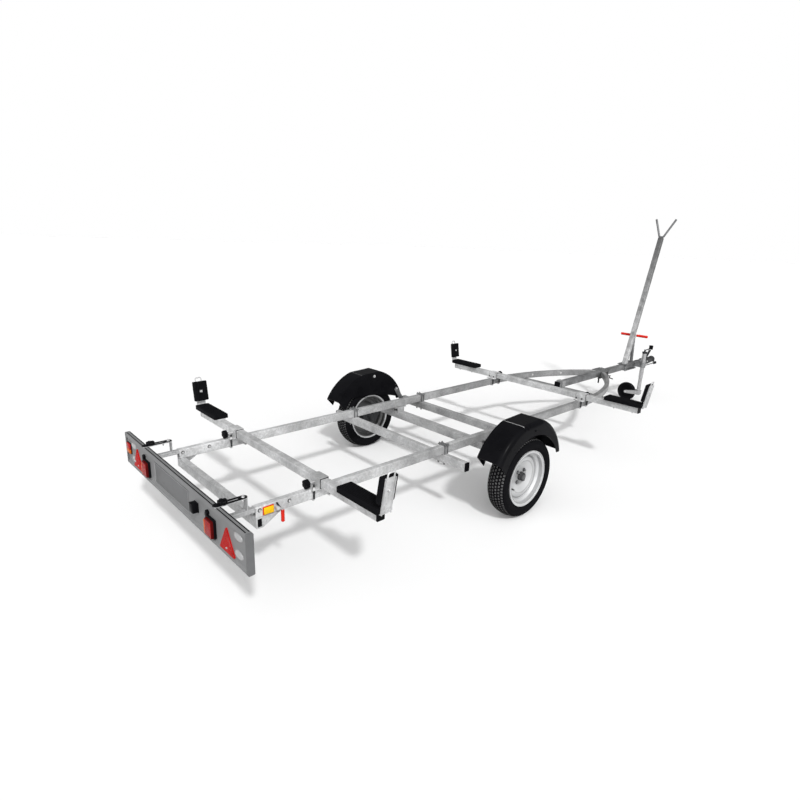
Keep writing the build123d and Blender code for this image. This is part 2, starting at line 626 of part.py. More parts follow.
# Crossbars and what they carry
for end, bar_x, facing in ENDS:
    straight_tube(f"crossbar_{end}", (bar_x, -CROSSBAR_HALF, CROSSBAR_MID_Z), (0, 1, 0), (1, 0, 0),
                  (CROSSBAR_W, CROSSBAR_W, RAIL_WALL, RAIL_CORNER), 2 * CROSSBAR_HALF)
    # Clamps: base plate on the rail, sleeve round the crossbar, two U bolts round the rail, one knob
    with BuildPart() as clamps:
        for side, hand in SIDES:
            with BuildSketch(Plane.XY.offset(RAIL_TOP)):
                with Locations((bar_x, hand * RAIL_Y)):
                    Rectangle(CLAMP_PLATE_L, CLAMP_PLATE_W)
            extrude(amount=CLAMP_PLATE_T)
            with BuildSketch(Plane(origin=(bar_x, hand * RAIL_Y, CROSSBAR_MID_Z), x_dir=(1, 0, 0),
                                   z_dir=(0, 1, 0))):
                Rectangle(SLEEVE_W, SLEEVE_W)
                Rectangle(CROSSBAR_W, CROSSBAR_W, mode=Mode.SUBTRACT)
            extrude(amount=CLAMP_PLATE_W / 2, both=True)
            for bolt_x in (bar_x - U_BOLT_SPREAD / 2, bar_x + U_BOLT_SPREAD / 2):
                with BuildLine(forward_plane(bolt_x, hand * RAIL_Y, 0)) as u_path:
                    FilletPolyline((-U_BOLT_HALF, U_BOLT_TOP), (-U_BOLT_HALF, U_BOLT_LOW),
                                   (U_BOLT_HALF, U_BOLT_LOW), (U_BOLT_HALF, U_BOLT_TOP),
                                   radius=U_BOLT_R + RAIL_WALL)
                with BuildSketch(Plane(origin=u_path.line @ 0, z_dir=(0, 0, -1))):
                    Circle(U_BOLT_R)
                sweep(path=u_path.line)
            knob_plane = Plane(origin=(bar_x + facing * SLEEVE_W / 2, hand * RAIL_Y, CROSSBAR_MID_Z),
                               x_dir=(0, 1, 0), z_dir=(facing, 0, 0))
            with BuildSketch(knob_plane):
                Circle(U_BOLT_R)
            extrude(amount=KNOB_STEM_L)
            with BuildSketch(knob_plane.offset(KNOB_STEM_L)):
                star_knob()
            extrude(amount=KNOB_T)
    finish(clamps, f"crossbar_clamps_{end}")

    for side, hand in SIDES:
        # Bracket: a bent strip under the hull pad, up past the crossbar's end, with a strap eyelet on top
        upright = Plane(origin=(bar_x, hand * BRACKET_Y, CROSSBAR_TOP), x_dir=(-hand, 0, 0),
                        z_dir=(0, hand * cos(radians(BRACKET_LEAN)), -sin(radians(BRACKET_LEAN))))
        with BuildPart() as bracket:
            with BuildSketch(Plane.XY.offset(CROSSBAR_TOP)):
                with Locations((bar_x, hand * (BRACKET_Y - PAD_L / 2 + BRACKET_T / 2))):
                    Rectangle(BRACKET_W, PAD_L + BRACKET_T)
            extrude(amount=BRACKET_T)
            blade_foot = BRACKET_LIP * tan(radians(BRACKET_LEAN))
            blade_h = BRACKET_H - blade_foot
            with BuildSketch(upright):
                with Locations((0, blade_foot + blade_h / 2)):
                    Rectangle(BRACKET_W, blade_h)
            extrude(amount=BRACKET_T)
            with BuildSketch(upright):
                with Locations((-BRACKET_W / 2 + BRACKET_LIP_T / 2, blade_foot + blade_h / 2),
                               (BRACKET_W / 2 - BRACKET_LIP_T / 2, blade_foot + blade_h / 2)):
                    Rectangle(BRACKET_LIP_T, blade_h)
            extrude(amount=BRACKET_LIP)
            eyelet = upright.offset(BRACKET_T)
            hoop_foot = BRACKET_H - EYELET_H / 2
            hoop_top = BRACKET_H + EYELET_H
            with BuildLine(eyelet) as hoop:
                FilletPolyline((-EYELET_SPAN / 2, hoop_foot), (-EYELET_SPAN / 2, hoop_top),
                               (EYELET_SPAN / 2, hoop_top), (EYELET_SPAN / 2, hoop_foot),
                               radius=EYELET_BEND_R)
            with BuildSketch(Plane(origin=hoop.line @ 0, z_dir=hoop.line % 0)):
                Circle(EYELET_R)
            sweep(path=hoop.line)
        finish(bracket, f"side_bracket_{end}_{side}")

        with BuildPart() as hull_pad:
            with BuildSketch(Plane.XY.offset(CROSSBAR_TOP + BRACKET_T)):
                with Locations((bar_x, hand * (BRACKET_Y - PAD_L / 2 - FIT_GAP))):
                    Rectangle(PAD_W, PAD_L)
            extrude(amount=PAD_T)
            chamfer(hull_pad.faces().sort_by(Axis.Z)[-1].edges(), PAD_EDGE)
        finish(hull_pad, f"hull_pad_{end}_{side}")

        with BuildPart() as side_pad:
            with BuildSketch(upright):
                with Locations((0, SIDE_PAD_RISE + SIDE_PAD_H / 2)):
                    Rectangle(PAD_W, SIDE_PAD_H)
            extrude(amount=-SIDE_PAD_T)
            chamfer(side_pad.edges().filter_by(Axis.X).group_by(Axis.Y)[0 if hand > 0 else -1], PAD_EDGE)
        finish(side_pad, f"side_pad_{end}_{side}")

# Black end caps on the open tube ends
with BuildPart() as caps:
    for end, bar_x, facing in ENDS:
        for side, hand in SIDES:
            with BuildSketch(outward_plane(bar_x, hand * CROSSBAR_HALF, CROSSBAR_MID_Z, hand)):
                RectangleRounded(CROSSBAR_W, CROSSBAR_W, RAIL_CORNER)
            extrude(amount=CAP_T)
    for name, centre_x, half in MEMBERS[1:]:
        for side, hand in SIDES:
            with BuildSketch(outward_plane(centre_x, hand * half, MEMBER_MID_Z, hand)):
                RectangleRounded(MEMBER_W, MEMBER_H, RAIL_CORNER)
            extrude(amount=CAP_T)
    with BuildSketch(Plane(origin=(DRAWBAR_REAR_X, 0, RAIL_MID_Z), x_dir=(0, 1, 0), z_dir=(-1, 0, 0))):
        RectangleRounded(DRAWBAR_W, DRAWBAR_H, DRAWBAR_CORNER)
    extrude(amount=CAP_T)
finish(caps, "tube_caps")


def plate_clamp(name, centre_x, length, width, bolt_rows):
    """Make a plate above and one below the drawbar, held together by a pair of bolts in each row."""
    with BuildPart() as clamp:
        for low in (RAIL_TOP, RAIL_BOTTOM - PLATE_T):
            with BuildSketch(Plane.XY.offset(low)):
                with Locations((centre_x, 0)):
                    Rectangle(length, width)
            extrude(amount=PLATE_T)
        with BuildSketch(Plane.XY.offset(RAIL_BOTTOM - 2 * PLATE_T)):
            for row in bolt_rows:
                with Locations((centre_x + row, PLATE_BOLT_Y), (centre_x + row, -PLATE_BOLT_Y)):
                    Circle(PLATE_BOLT_R)
        extrude(amount=RAIL_H + 4 * PLATE_T)
    finish(clamp, name)


bow_row = BOW_PLATE_L / 2 - 2 * PLATE_BOLT_R
post_row = POST_PLATE_L / 2 - 2 * PLATE_BOLT_R
plate_clamp("bow_clamp", BOW_TIP_X, BOW_PLATE_L, BOW_PLATE_W, (PLATE_BOLT_R, bow_row))
plate_clamp("post_clamp", POST_FOOT_X + POST_PLATE_AHEAD, POST_PLATE_L, POST_PLATE_W, (-post_row, post_row))

# Post that leans forward over the drawbar, with a strut in front, a handle and the mast fork on top
post_up = (sin(radians(POST_LEAN)), 0, cos(radians(POST_LEAN)))
post_plane = Plane(origin=(POST_FOOT_X, 0, POST_FOOT_Z), x_dir=(0, 1, 0), z_dir=post_up)
with BuildPart() as post:
    with BuildSketch(post_plane.offset(-POST_W)):
        tube_section(POST_W, POST_W, POST_WALL, RAIL_CORNER)
    extrude(amount=POST_L + POST_W)
    split(bisect_by=Plane.XY.offset(POST_FOOT_Z), keep=Keep.TOP)
finish(post, "mast_post")

with BuildPart() as fork:
    with BuildSketch(post_plane.offset(POST_L)):
        RectangleRounded(POST_W, POST_W, RAIL_CORNER)
    extrude(amount=PLATE_T)
    fork_plane = Plane(origin=post_plane.from_local_coords((0, 0, POST_L + PLATE_T + FORK_BAR_R - FIT_GAP)),
                       x_dir=(0, 1, 0), z_dir=(cos(radians(POST_LEAN)), 0, -sin(radians(POST_LEAN))))
    with BuildLine(fork_plane) as prongs:
        FilletPolyline((-FORK_HALF, FORK_H), (-FORK_FOOT_HALF, 0), (FORK_FOOT_HALF, 0), (FORK_HALF, FORK_H),
                       radius=FORK_BEND_R)
    with BuildSketch(Plane(origin=prongs.line @ 0, z_dir=prongs.line % 0)):
        Circle(FORK_BAR_R)
    sweep(path=prongs.line)
finish(fork, "mast_fork")

post_front_x = POST_FOOT_X + POST_W / 2 / cos(radians(POST_LEAN))
strut_top_x = post_front_x + STRUT_H * tan(radians(POST_LEAN)) + STRUT_W / 2
strut_foot_x = POST_FOOT_X + STRUT_FOOT
strut_run = strut_top_x - strut_foot_x
with BuildPart() as strut:
    with BuildSketch(Plane(origin=(strut_foot_x, 0, POST_FOOT_Z), x_dir=(0, 1, 0),
                           z_dir=(strut_run, 0, STRUT_H)).offset(-STRUT_W)):
        tube_section(STRUT_W, STRUT_W, POST_WALL, STRUT_CORNER)
    extrude(amount=hypot(strut_run, STRUT_H) + STRUT_W)
    split(bisect_by=Plane.XY.offset(POST_FOOT_Z), keep=Keep.TOP)
    split(bisect_by=Plane(origin=(post_front_x, 0, POST_FOOT_Z),
                          z_dir=(cos(radians(POST_LEAN)), 0, -sin(radians(POST_LEAN)))), keep=Keep.TOP)
finish(strut, "post_strut")

with BuildPart() as handle:
    handle_out = (HANDLE_R + FIT_GAP) / cos(radians(POST_LEAN))
    handle_x = post_front_x + HANDLE_H * tan(radians(POST_LEAN)) + handle_out
    with BuildSketch(Plane.XZ.offset(-HANDLE_HALF)):
        with Locations((handle_x, POST_FOOT_Z + HANDLE_H)):
            Circle(HANDLE_R)
    extrude(amount=2 * HANDLE_HALF)
finish(handle, "handle_bar")

# Ball coupling: sleeve round the drawbar's front end, neck, and housing over the ball socket
with BuildPart() as coupling:
    with BuildSketch(forward_plane(DRAWBAR_FRONT_X - COUPLING_SLEEVE_L, 0, RAIL_MID_Z)):
        RectangleRounded(COUPLING_W, COUPLING_W, DRAWBAR_CORNER)
        RectangleRounded(DRAWBAR_W + 2 * FIT_GAP, DRAWBAR_H + 2 * FIT_GAP, DRAWBAR_CORNER - COUPLING_WALL / 2,
                         mode=Mode.SUBTRACT)
    extrude(amount=COUPLING_SLEEVE_L)
    with BuildSketch(forward_plane(DRAWBAR_FRONT_X, 0, RAIL_MID_Z)):
        RectangleRounded(COUPLING_W, COUPLING_W, DRAWBAR_CORNER)
    with BuildSketch(forward_plane(BALL_X, 0, BALL_Z)):
        RectangleRounded(COUPLING_NECK_W, COUPLING_NECK_H, DRAWBAR_CORNER)
    loft()
    with BuildSketch(Plane(origin=(BALL_X, 0, BALL_Z), x_dir=(1, 0, 0), z_dir=(0, -1, 0))):
        with BuildLine():
            skirt = Polyline((0, -BALL_SKIRT), (BALL_HOUSING_R, -BALL_SKIRT), (BALL_HOUSING_R, 0))
            dome = RadiusArc(skirt @ 1, (0, BALL_HOUSING_R), -BALL_HOUSING_R)
            Line(dome @ 1, skirt @ 0)
        make_face()
    revolve(axis=Axis((BALL_X, 0, BALL_Z), (0, 0, 1)))
    with BuildSketch(Plane.XY.offset(RAIL_BOTTOM - BALL_HOUSING_R)):
        with Locations((BALL_X, 0)):
            Circle(BALL_R + BALL_PLAY)
    extrude(amount=BALL_Z + BALL_R - RAIL_BOTTOM + BALL_HOUSING_R, mode=Mode.SUBTRACT)
finish(coupling, "coupling_head")

with BuildPart() as lever:
    with BuildSketch(Plane.XZ):
        with BuildLine():
            foot = Line((DRAWBAR_FRONT_X - LEVER_FOOT_L, COUPLING_TOP + LEVER_T / 2),
                        (DRAWBAR_FRONT_X, COUPLING_TOP + LEVER_T / 2))
            Line(foot @ 1, (DRAWBAR_FRONT_X + LEVER_L, COUPLING_TOP + LEVER_RISE))
        trace(line_width=LEVER_T)
    extrude(amount=LEVER_W / 2, both=True)
finish(lever, "coupling_lever")

# Jockey wheel: clamp ring on the drawbar's side, outer tube, crank, sliding leg, swivelling fork and wheel
def jockey_disc(low, radius, height, mode=Mode.ADD):
    """Add or cut a disc about the jockey's upright axis."""
    with Locations((JOCKEY_X, JOCKEY_Y, low)):
        Cylinder(radius, height, align=(Align.CENTER, Align.CENTER, Align.MIN), mode=mode)


with BuildPart() as jockey_clamp:
    with BuildSketch(Plane.XY.offset(RAIL_BOTTOM)):
        with Locations((JOCKEY_X, (JOCKEY_Y - DRAWBAR_W / 2) / 2)):
            Rectangle(2 * JOCKEY_TUBE_R, -JOCKEY_Y - DRAWBAR_W / 2)
    extrude(amount=DRAWBAR_H)
    jockey_disc(RAIL_BOTTOM, JOCKEY_TUBE_R + CLAMP_RING_T, DRAWBAR_H)
    jockey_disc(RAIL_BOTTOM, JOCKEY_TUBE_R + FIT_GAP, DRAWBAR_H, Mode.SUBTRACT)
    rod_start = JOCKEY_X + JOCKEY_TUBE_R + CLAMP_RING_T / 2
    with BuildSketch(Plane(origin=(rod_start, JOCKEY_Y, CLAMP_ROD_Z), z_dir=(1, 0, 0))):
        Circle(CRANK_ROD_R)
    extrude(amount=CLAMP_ROD_L)
    with BuildSketch(Plane(origin=(rod_start + CLAMP_ROD_L, JOCKEY_Y, CLAMP_ROD_Z), z_dir=(1, 0, 0))):
        Circle(CRANK_GRIP_R)
    extrude(amount=CRANK_GRIP_H)
finish(jockey_clamp, "jockey_clamp")

with BuildPart() as jockey_tube:
    tube_l = JOCKEY_TUBE_TOP - JOCKEY_TUBE_BOTTOM
    jockey_disc(JOCKEY_TUBE_BOTTOM, JOCKEY_TUBE_R, tube_l)
    jockey_disc(JOCKEY_TUBE_BOTTOM, JOCKEY_TUBE_R - JOCKEY_TUBE_WALL, tube_l, Mode.SUBTRACT)
finish(jockey_tube, "jockey_tube")

with BuildPart() as crank:
    jockey_disc(JOCKEY_TUBE_TOP, JOCKEY_TUBE_R + JOCKEY_TUBE_WALL, CRANK_RISE / 2)
    crank_z = JOCKEY_TUBE_TOP + CRANK_RISE / 2
    jockey_disc(crank_z, CRANK_BOSS_R, CRANK_RISE / 2 + CRANK_ROD_R)
    with BuildSketch(Plane(origin=(JOCKEY_X, JOCKEY_Y, crank_z + CRANK_RISE / 2), z_dir=(1, 0, 0))):
        Circle(CRANK_ROD_R)
    extrude(amount=CRANK_REACH)
    with BuildSketch(Plane.XY.offset(crank_z + CRANK_RISE / 2 - CRANK_ROD_R)):
        with Locations((JOCKEY_X + CRANK_REACH, JOCKEY_Y)):
            Circle(CRANK_GRIP_R)
    extrude(amount=CRANK_GRIP_H)
    fillet(crank.faces().sort_by(Axis.Z)[-1].edges(), CRANK_GRIP_R / 2)
finish(crank, "jockey_crank")

with BuildPart() as leg:
    jockey_disc(LEG_BOTTOM, LEG_R, JOCKEY_LEG_L)
    jockey_disc(LEG_BOTTOM + FORK_HEAD_H / 2, LEG_R - JOCKEY_LEG_WALL, JOCKEY_LEG_L, Mode.SUBTRACT)
    jockey_disc(FORK_HEAD_Z, JOCKEY_PIN_R, LEG_BOTTOM - FORK_HEAD_Z)
finish(leg, "jockey_leg")

with BuildPart() as jockey_fork:
    jockey_disc(FORK_HEAD_Z, FORK_HEAD_R, FORK_HEAD_H)
    with BuildSketch(Plane.XY.offset(FORK_HEAD_Z)):
        with Locations((JOCKEY_X, JOCKEY_Y)):
            Rectangle(2 * (FORK_ARM_X + FORK_ARM_T), 2 * (FORK_HEAD_R - FORK_ARM_T))
    extrude(amount=FORK_HEAD_H)
    for arm_x in (-FORK_ARM_X - FORK_ARM_T, FORK_ARM_X):
        with BuildSketch(forward_plane(JOCKEY_X + arm_x, JOCKEY_Y, 0)):
            with BuildLine():
                head_top = FORK_HEAD_Z + FORK_HEAD_H
                Polyline((-FORK_HEAD_R + FORK_ARM_T, FORK_HEAD_Z), (-FORK_HEAD_R + FORK_ARM_T, head_top),
                         (FORK_HEAD_R, head_top), (JOCKEY_TRAIL, JOCKEY_WHEEL_R + FORK_ARM_H / 2),
                         (JOCKEY_TRAIL, JOCKEY_WHEEL_R - FORK_ARM_H / 2), (FORK_HEAD_R, FORK_HEAD_Z),
                         close=True)
            make_face()
            with Locations((JOCKEY_TRAIL, JOCKEY_WHEEL_R)):
                Circle(FORK_ARM_H / 2)
        extrude(amount=FORK_ARM_T)
    with BuildSketch(forward_plane(JOCKEY_X - FORK_ARM_X - FORK_ARM_T, JOCKEY_WHEEL_Y, JOCKEY_WHEEL_R)):
        Circle(JOCKEY_AXLE_R)
    extrude(amount=2 * (FORK_ARM_X + FORK_ARM_T))
    jockey_disc(FORK_HEAD_Z, JOCKEY_PIN_R + RUN_GAP, FORK_HEAD_H, Mode.SUBTRACT)
finish(jockey_fork, "jockey_fork")

with BuildPart() as jockey_wheel:
    with BuildSketch(Plane(origin=(JOCKEY_X, JOCKEY_WHEEL_Y, JOCKEY_WHEEL_R), x_dir=(1, 0, 0),
                           z_dir=(0, -1, 0))):
        half = JOCKEY_WHEEL_W / 2
        bore = JOCKEY_AXLE_R + RUN_GAP
        with BuildLine():
            near = Polyline((-half, bore), (half, bore), (half, JOCKEY_HUB_R),
                            (JOCKEY_WEB_HALF, JOCKEY_HUB_R), (JOCKEY_WEB_HALF, JOCKEY_TYRE_R),
                            (JOCKEY_BEAD_HALF, JOCKEY_TYRE_R))
            crown = ThreePointArc((half, JOCKEY_SHOULDER_R), (0, JOCKEY_WHEEL_R), (-half, JOCKEY_SHOULDER_R))
            Line(near @ 1, crown @ 0)
            Polyline(crown @ 1, (-JOCKEY_BEAD_HALF, JOCKEY_TYRE_R), (-JOCKEY_WEB_HALF, JOCKEY_TYRE_R),
                     (-JOCKEY_WEB_HALF, JOCKEY_HUB_R), (-half, JOCKEY_HUB_R), (-half, bore))
        make_face()
    revolve(axis=Axis((JOCKEY_X, JOCKEY_WHEEL_Y, JOCKEY_WHEEL_R), (1, 0, 0)))
finish(jockey_wheel, "jockey_wheel")

# Light board: a bent channel with an open front, a set-in rear face and a shallow field for the number plate
def board_plane(y, z):
    """Plane on the board's set-in face that looks back, with local x towards the right side."""
    return Plane(origin=(BOARD_FACE_X, y, z), x_dir=(0, -1, 0), z_dir=(-1, 0, 0))


board_half = BOARD_HALF - END_CAP_T
with BuildPart() as board:
    with BuildSketch(Plane.XZ):
        with BuildLine():
            rear_x = BOARD_X + BOARD_WALL / 2
            face_x = BOARD_FACE_X + BOARD_WALL / 2
            low = BOARD_BOTTOM + BOARD_WALL / 2
            high = BOARD_TOP - BOARD_WALL / 2
            Polyline((BOARD_X + BOARD_T, low), (rear_x, low), (rear_x, low + BOARD_LIP),
                     (face_x, low + BOARD_LIP + BOARD_RECESS), (face_x, high - BOARD_LEDGE - BOARD_RECESS),
                     (rear_x, high - BOARD_LEDGE), (rear_x, high), (BOARD_X + BOARD_T, high))
        trace(line_width=BOARD_WALL)
    extrude(amount=board_half, both=True)
    with BuildSketch(board_plane(PLATE_AREA_Y, PLATE_AREA_Z)):
        Rectangle(PLATE_AREA_W, PLATE_AREA_H)
    extrude(amount=-PLATE_AREA_DEPTH, mode=Mode.SUBTRACT)
finish(board, "light_board")

with BuildPart() as end_caps:
    for side, hand in SIDES:
        with BuildSketch(Plane.XZ.offset(-hand * board_half)):
            with Locations((BOARD_X + BOARD_T / 2, BOARD_BOTTOM + BOARD_H / 2)):
                RectangleRounded(BOARD_T + 2 * END_CAP_PROUD, BOARD_H + 2 * END_CAP_PROUD, BOARD_RECESS)
        extrude(amount=-hand * END_CAP_T)
finish(end_caps, "board_end_caps")

# Slide bars in the rails, each with its hanger over the board's top edge and a clamp knob
for side, hand in SIDES:
    with BuildPart() as slide:
        with BuildSketch(forward_plane(BOARD_X + BOARD_T, hand * RAIL_Y, SLIDE_TOP - SLIDE_H / 2)):
            tube_section(SLIDE_W, SLIDE_H, SLIDE_WALL, RAIL_WALL + FIT_GAP)
        extrude(amount=SLIDE_L)
        with BuildSketch(Plane.XY.offset(BOARD_TOP)):
            with Locations((BOARD_X + HANGER_L / 2, hand * RAIL_Y)):
                Rectangle(HANGER_L, HANGER_W)
        extrude(amount=HANGER_T)
        with BuildSketch(Plane.XY.offset(SLIDE_TOP - SLIDE_WALL)):
            with Locations((BOARD_X + HANGER_L - HANGER_T / 2, hand * RAIL_Y)):
                Rectangle(HANGER_T, HANGER_W)
        extrude(amount=BOARD_TOP + HANGER_T - SLIDE_TOP + SLIDE_WALL)
        with BuildSketch(Plane.XY.offset(BOARD_TOP + HANGER_T)):
            with Locations((BOARD_X + HANGER_KNOB_REACH, hand * RAIL_Y)):
                star_knob()
        extrude(amount=KNOB_T)
    finish(slide, f"slide_bar_{side}")

# Lamps and reflectors on the board: the corner lamp is on the left end only
LAMPS = (
    (LAMP_Y, LAMP_RISE, LAMP_W, LAMP_H, LAMP_T),
    (-LAMP_Y, LAMP_RISE, LAMP_W, LAMP_H, LAMP_T),
    (CORNER_LAMP_Y, CORNER_LAMP_RISE, CORNER_LAMP_W, CORNER_LAMP_H, CORNER_LAMP_T),
)
with BuildPart() as tail_lamps:
    for lamp_y, rise, width, height, depth in LAMPS:
        with BuildSketch(board_plane(lamp_y, BOARD_BOTTOM + rise)):
            RectangleRounded(width, height, LAMP_CORNER)
        extrude(amount=depth)
finish(tail_lamps, "tail_lamps")

with BuildPart() as reflectors:
    for side, hand in SIDES:
        with BuildSketch(board_plane(hand * REFLECTOR_Y, BOARD_BOTTOM + REFLECTOR_RISE)):
            RegularPolygon(REFLECTOR_SIDE / 3 ** 0.5, 3, rotation=90)
        extrude(amount=REFLECTOR_T)
finish(reflectors, "triangle_reflectors")

with BuildPart() as plate_lamp:
    with BuildSketch(board_plane(PLATE_LAMP_Y, BOARD_BOTTOM + PLATE_LAMP_RISE)):
        RectangleRounded(PLATE_LAMP_W, PLATE_LAMP_H, LAMP_CORNER)
    extrude(amount=PLATE_LAMP_T)
finish(plate_lamp, "plate_lamp")

# Side marker and clamp lever on each rail
with BuildPart() as markers:
    for side, hand in SIDES:
        with BuildSketch(outward_plane(MARKER_X, hand * (RAIL_Y + RAIL_W / 2), RAIL_MID_Z, hand)):
            RectangleRounded(MARKER_L, MARKER_H, MARKER_T / 2)
        extrude(amount=MARKER_T)
finish(markers, "side_markers")

# Slide levers: the right one hangs down and the left one is turned up behind its rail
with BuildPart() as levers:
    for hand, turn in ((1, LEVER_TURN_LEFT), (-1, LEVER_TURN_RIGHT)):
        face_y = RAIL_Y + RAIL_W / 2
        with BuildSketch(outward_plane(SLIDE_LEVER_X, hand * face_y, RAIL_MID_Z, hand)):
            Circle(LEVER_BOSS_R)
        extrude(amount=LEVER_BOSS_L)
        swing = Plane(origin=(SLIDE_LEVER_X, hand * (face_y + SLIDE_LEVER_OUT), RAIL_MID_Z),
                      x_dir=(cos(radians(turn)), 0, sin(radians(turn))), z_dir=(0, -1, 0))
        grip_top = LEVER_FALL + LEVER_BEND_R
        with BuildLine(swing) as arm:
            FilletPolyline((0, 0), (LEVER_ARM, -LEVER_FALL), (LEVER_ARM, -grip_top - GRIP_L / 2),
                           radius=LEVER_BEND_R)
        with BuildSketch(Plane(origin=arm.line @ 0, z_dir=arm.line % 0)):
            Circle(SLIDE_LEVER_R)
        sweep(path=arm.line)
        with BuildSketch(Plane(origin=swing.from_local_coords((LEVER_ARM, -grip_top)), z_dir=-swing.y_dir)):
            Circle(GRIP_R)
        extrude(amount=GRIP_L)
finish(levers, "slide_levers")
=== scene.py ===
import bpy
import bmesh
from math import atan, atan2, cos, pi, radians, sin
from mathutils import Matrix, Vector


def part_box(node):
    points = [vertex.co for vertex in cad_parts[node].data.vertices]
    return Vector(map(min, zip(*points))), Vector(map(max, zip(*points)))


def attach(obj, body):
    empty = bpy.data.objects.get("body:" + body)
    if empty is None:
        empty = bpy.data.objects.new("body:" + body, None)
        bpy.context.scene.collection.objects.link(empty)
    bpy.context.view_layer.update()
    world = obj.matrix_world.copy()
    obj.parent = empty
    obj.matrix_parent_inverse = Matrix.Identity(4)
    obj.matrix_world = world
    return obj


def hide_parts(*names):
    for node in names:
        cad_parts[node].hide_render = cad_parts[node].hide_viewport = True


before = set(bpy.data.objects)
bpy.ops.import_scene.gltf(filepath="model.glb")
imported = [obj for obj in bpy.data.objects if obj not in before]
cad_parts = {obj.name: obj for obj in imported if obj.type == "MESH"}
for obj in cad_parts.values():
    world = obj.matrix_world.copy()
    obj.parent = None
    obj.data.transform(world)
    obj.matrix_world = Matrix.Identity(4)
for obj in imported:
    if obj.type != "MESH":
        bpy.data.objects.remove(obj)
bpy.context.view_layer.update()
scene = bpy.context.scene
scene.view_settings.view_transform = "Standard"


# Camera: it stands behind the trailer, on its right, and looks forward along it.
# Its place and its three axes were solved from the rails, crossbars, wheels and light board.
def box(node):
    """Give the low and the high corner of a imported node."""
    low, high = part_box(node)
    return Vector(low), Vector(high)


def middle_of(node):
    """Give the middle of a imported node's box."""
    low, high = box(node)
    return (low + high) / 2


CAMERA_RIGHT = Vector((0.734763, -0.677435, 0.034728))
CAMERA_UP = Vector((0.167669, 0.230990, 0.958400))
CAMERA_BACK = Vector((-0.657275, -0.698374, 0.283308))
BEHIND_AXLE, CAMERA_Y, CAMERA_Z = 2.92081, -2.71916, 1.78417
axle = middle_of("tyre_left")
camera_data = bpy.data.cameras.new("camera")
camera_data.sensor_width = 36.0
camera_data.lens = 24.206
camera = bpy.data.objects.new("camera", camera_data)
scene.collection.objects.link(camera)
turn = Matrix((CAMERA_RIGHT, CAMERA_UP, CAMERA_BACK)).transposed()
stand = Matrix.Translation((axle.x - BEHIND_AXLE, CAMERA_Y, CAMERA_Z))
camera.matrix_world = stand @ turn.to_4x4()
scene.camera = camera


# Light: a soft studio surround, brightest on the camera's side and white behind the object.
# One soft lamp over the camera's right shoulder draws the shadows.
def ranged(tree, value, first, last, start=0.0, end=1.0):
    """Turn a socket's value from start to end into first to last, held at both ends."""
    node = tree.nodes.new("ShaderNodeMapRange")
    node.inputs["From Min"].default_value = start
    node.inputs["From Max"].default_value = end
    node.inputs["To Min"].default_value = first
    node.inputs["To Max"].default_value = last
    tree.links.new(value, node.inputs["Value"])
    return node.outputs["Result"]


LIT_FROM = (-0.76, -0.64, 0.10)
DIM_SIDE, BRIGHT_SIDE = 0.24, 2.35
SUN_ENERGY, SUN_ANGLE = 1.80, radians(5)
SUN_FROM = Vector((-0.42, -0.90, 1.00))
WHITE = (1, 1, 1, 1)
world = bpy.data.worlds.new("studio")
scene.world = world
world.use_nodes = True
tree = world.node_tree
tree.nodes.clear()
place = tree.nodes.new("ShaderNodeTexCoord")
aim = tree.nodes.new("ShaderNodeVectorMath")
aim.operation = "DOT_PRODUCT"
aim.inputs[1].default_value = LIT_FROM
tree.links.new(place.outputs["Generated"], aim.inputs[0])
surround = tree.nodes.new("ShaderNodeBackground")
surround.inputs["Color"].default_value = WHITE
glow = ranged(tree, aim.outputs["Value"], DIM_SIDE, BRIGHT_SIDE)
tree.links.new(glow, surround.inputs["Strength"])
backdrop = tree.nodes.new("ShaderNodeBackground")
backdrop.inputs["Color"].default_value = WHITE
path = tree.nodes.new("ShaderNodeLightPath")
mix = tree.nodes.new("ShaderNodeMixShader")
tree.links.new(path.outputs["Is Camera Ray"], mix.inputs[0])
tree.links.new(surround.outputs[0], mix.inputs[1])
tree.links.new(backdrop.outputs[0], mix.inputs[2])
world_out = tree.nodes.new("ShaderNodeOutputWorld")
tree.links.new(mix.outputs[0], world_out.inputs["Surface"])

sun_data = bpy.data.lights.new("sun", "SUN")
sun_data.energy = SUN_ENERGY
sun_data.angle = SUN_ANGLE
sun = bpy.data.objects.new("sun", sun_data)
scene.collection.objects.link(sun)
sun.rotation_euler = SUN_FROM.to_track_quat("Z", "Y").to_euler()

# Floor: one plain pale plane, which keeps the object's shadow.
# It throws less light back up than it shows to the camera.
FLOOR_HALF = 150
FLOOR_SEEN = (0.88, 0.88, 0.88, 1)
FLOOR_THROWN = (0.40, 0.40, 0.40, 1)
floor_mesh = bpy.data.meshes.new("floor")
bm = bmesh.new()
bmesh.ops.create_grid(bm, x_segments=1, y_segments=1, size=FLOOR_HALF)
bm.to_mesh(floor_mesh)
bm.free()
floor = bpy.data.objects.new("floor", floor_mesh)
scene.collection.objects.link(floor)
floor_material = bpy.data.materials.new("floor")
floor_material.use_nodes = True
tree = floor_material.node_tree
shader = tree.nodes["Principled BSDF"]
shader.inputs["Roughness"].default_value = 0.95
shader.inputs["Specular IOR Level"].default_value = 0.0
path = tree.nodes.new("ShaderNodeLightPath")
pale = tree.nodes.new("ShaderNodeMix")
pale.data_type = "RGBA"
pale.inputs["A"].default_value = FLOOR_SEEN
pale.inputs["B"].default_value = FLOOR_THROWN
tree.links.new(path.outputs["Is Diffuse Ray"], pale.inputs["Factor"])
tree.links.new(pale.outputs["Result"], shader.inputs["Base Color"])
floor_mesh.materials.append(floor_material)


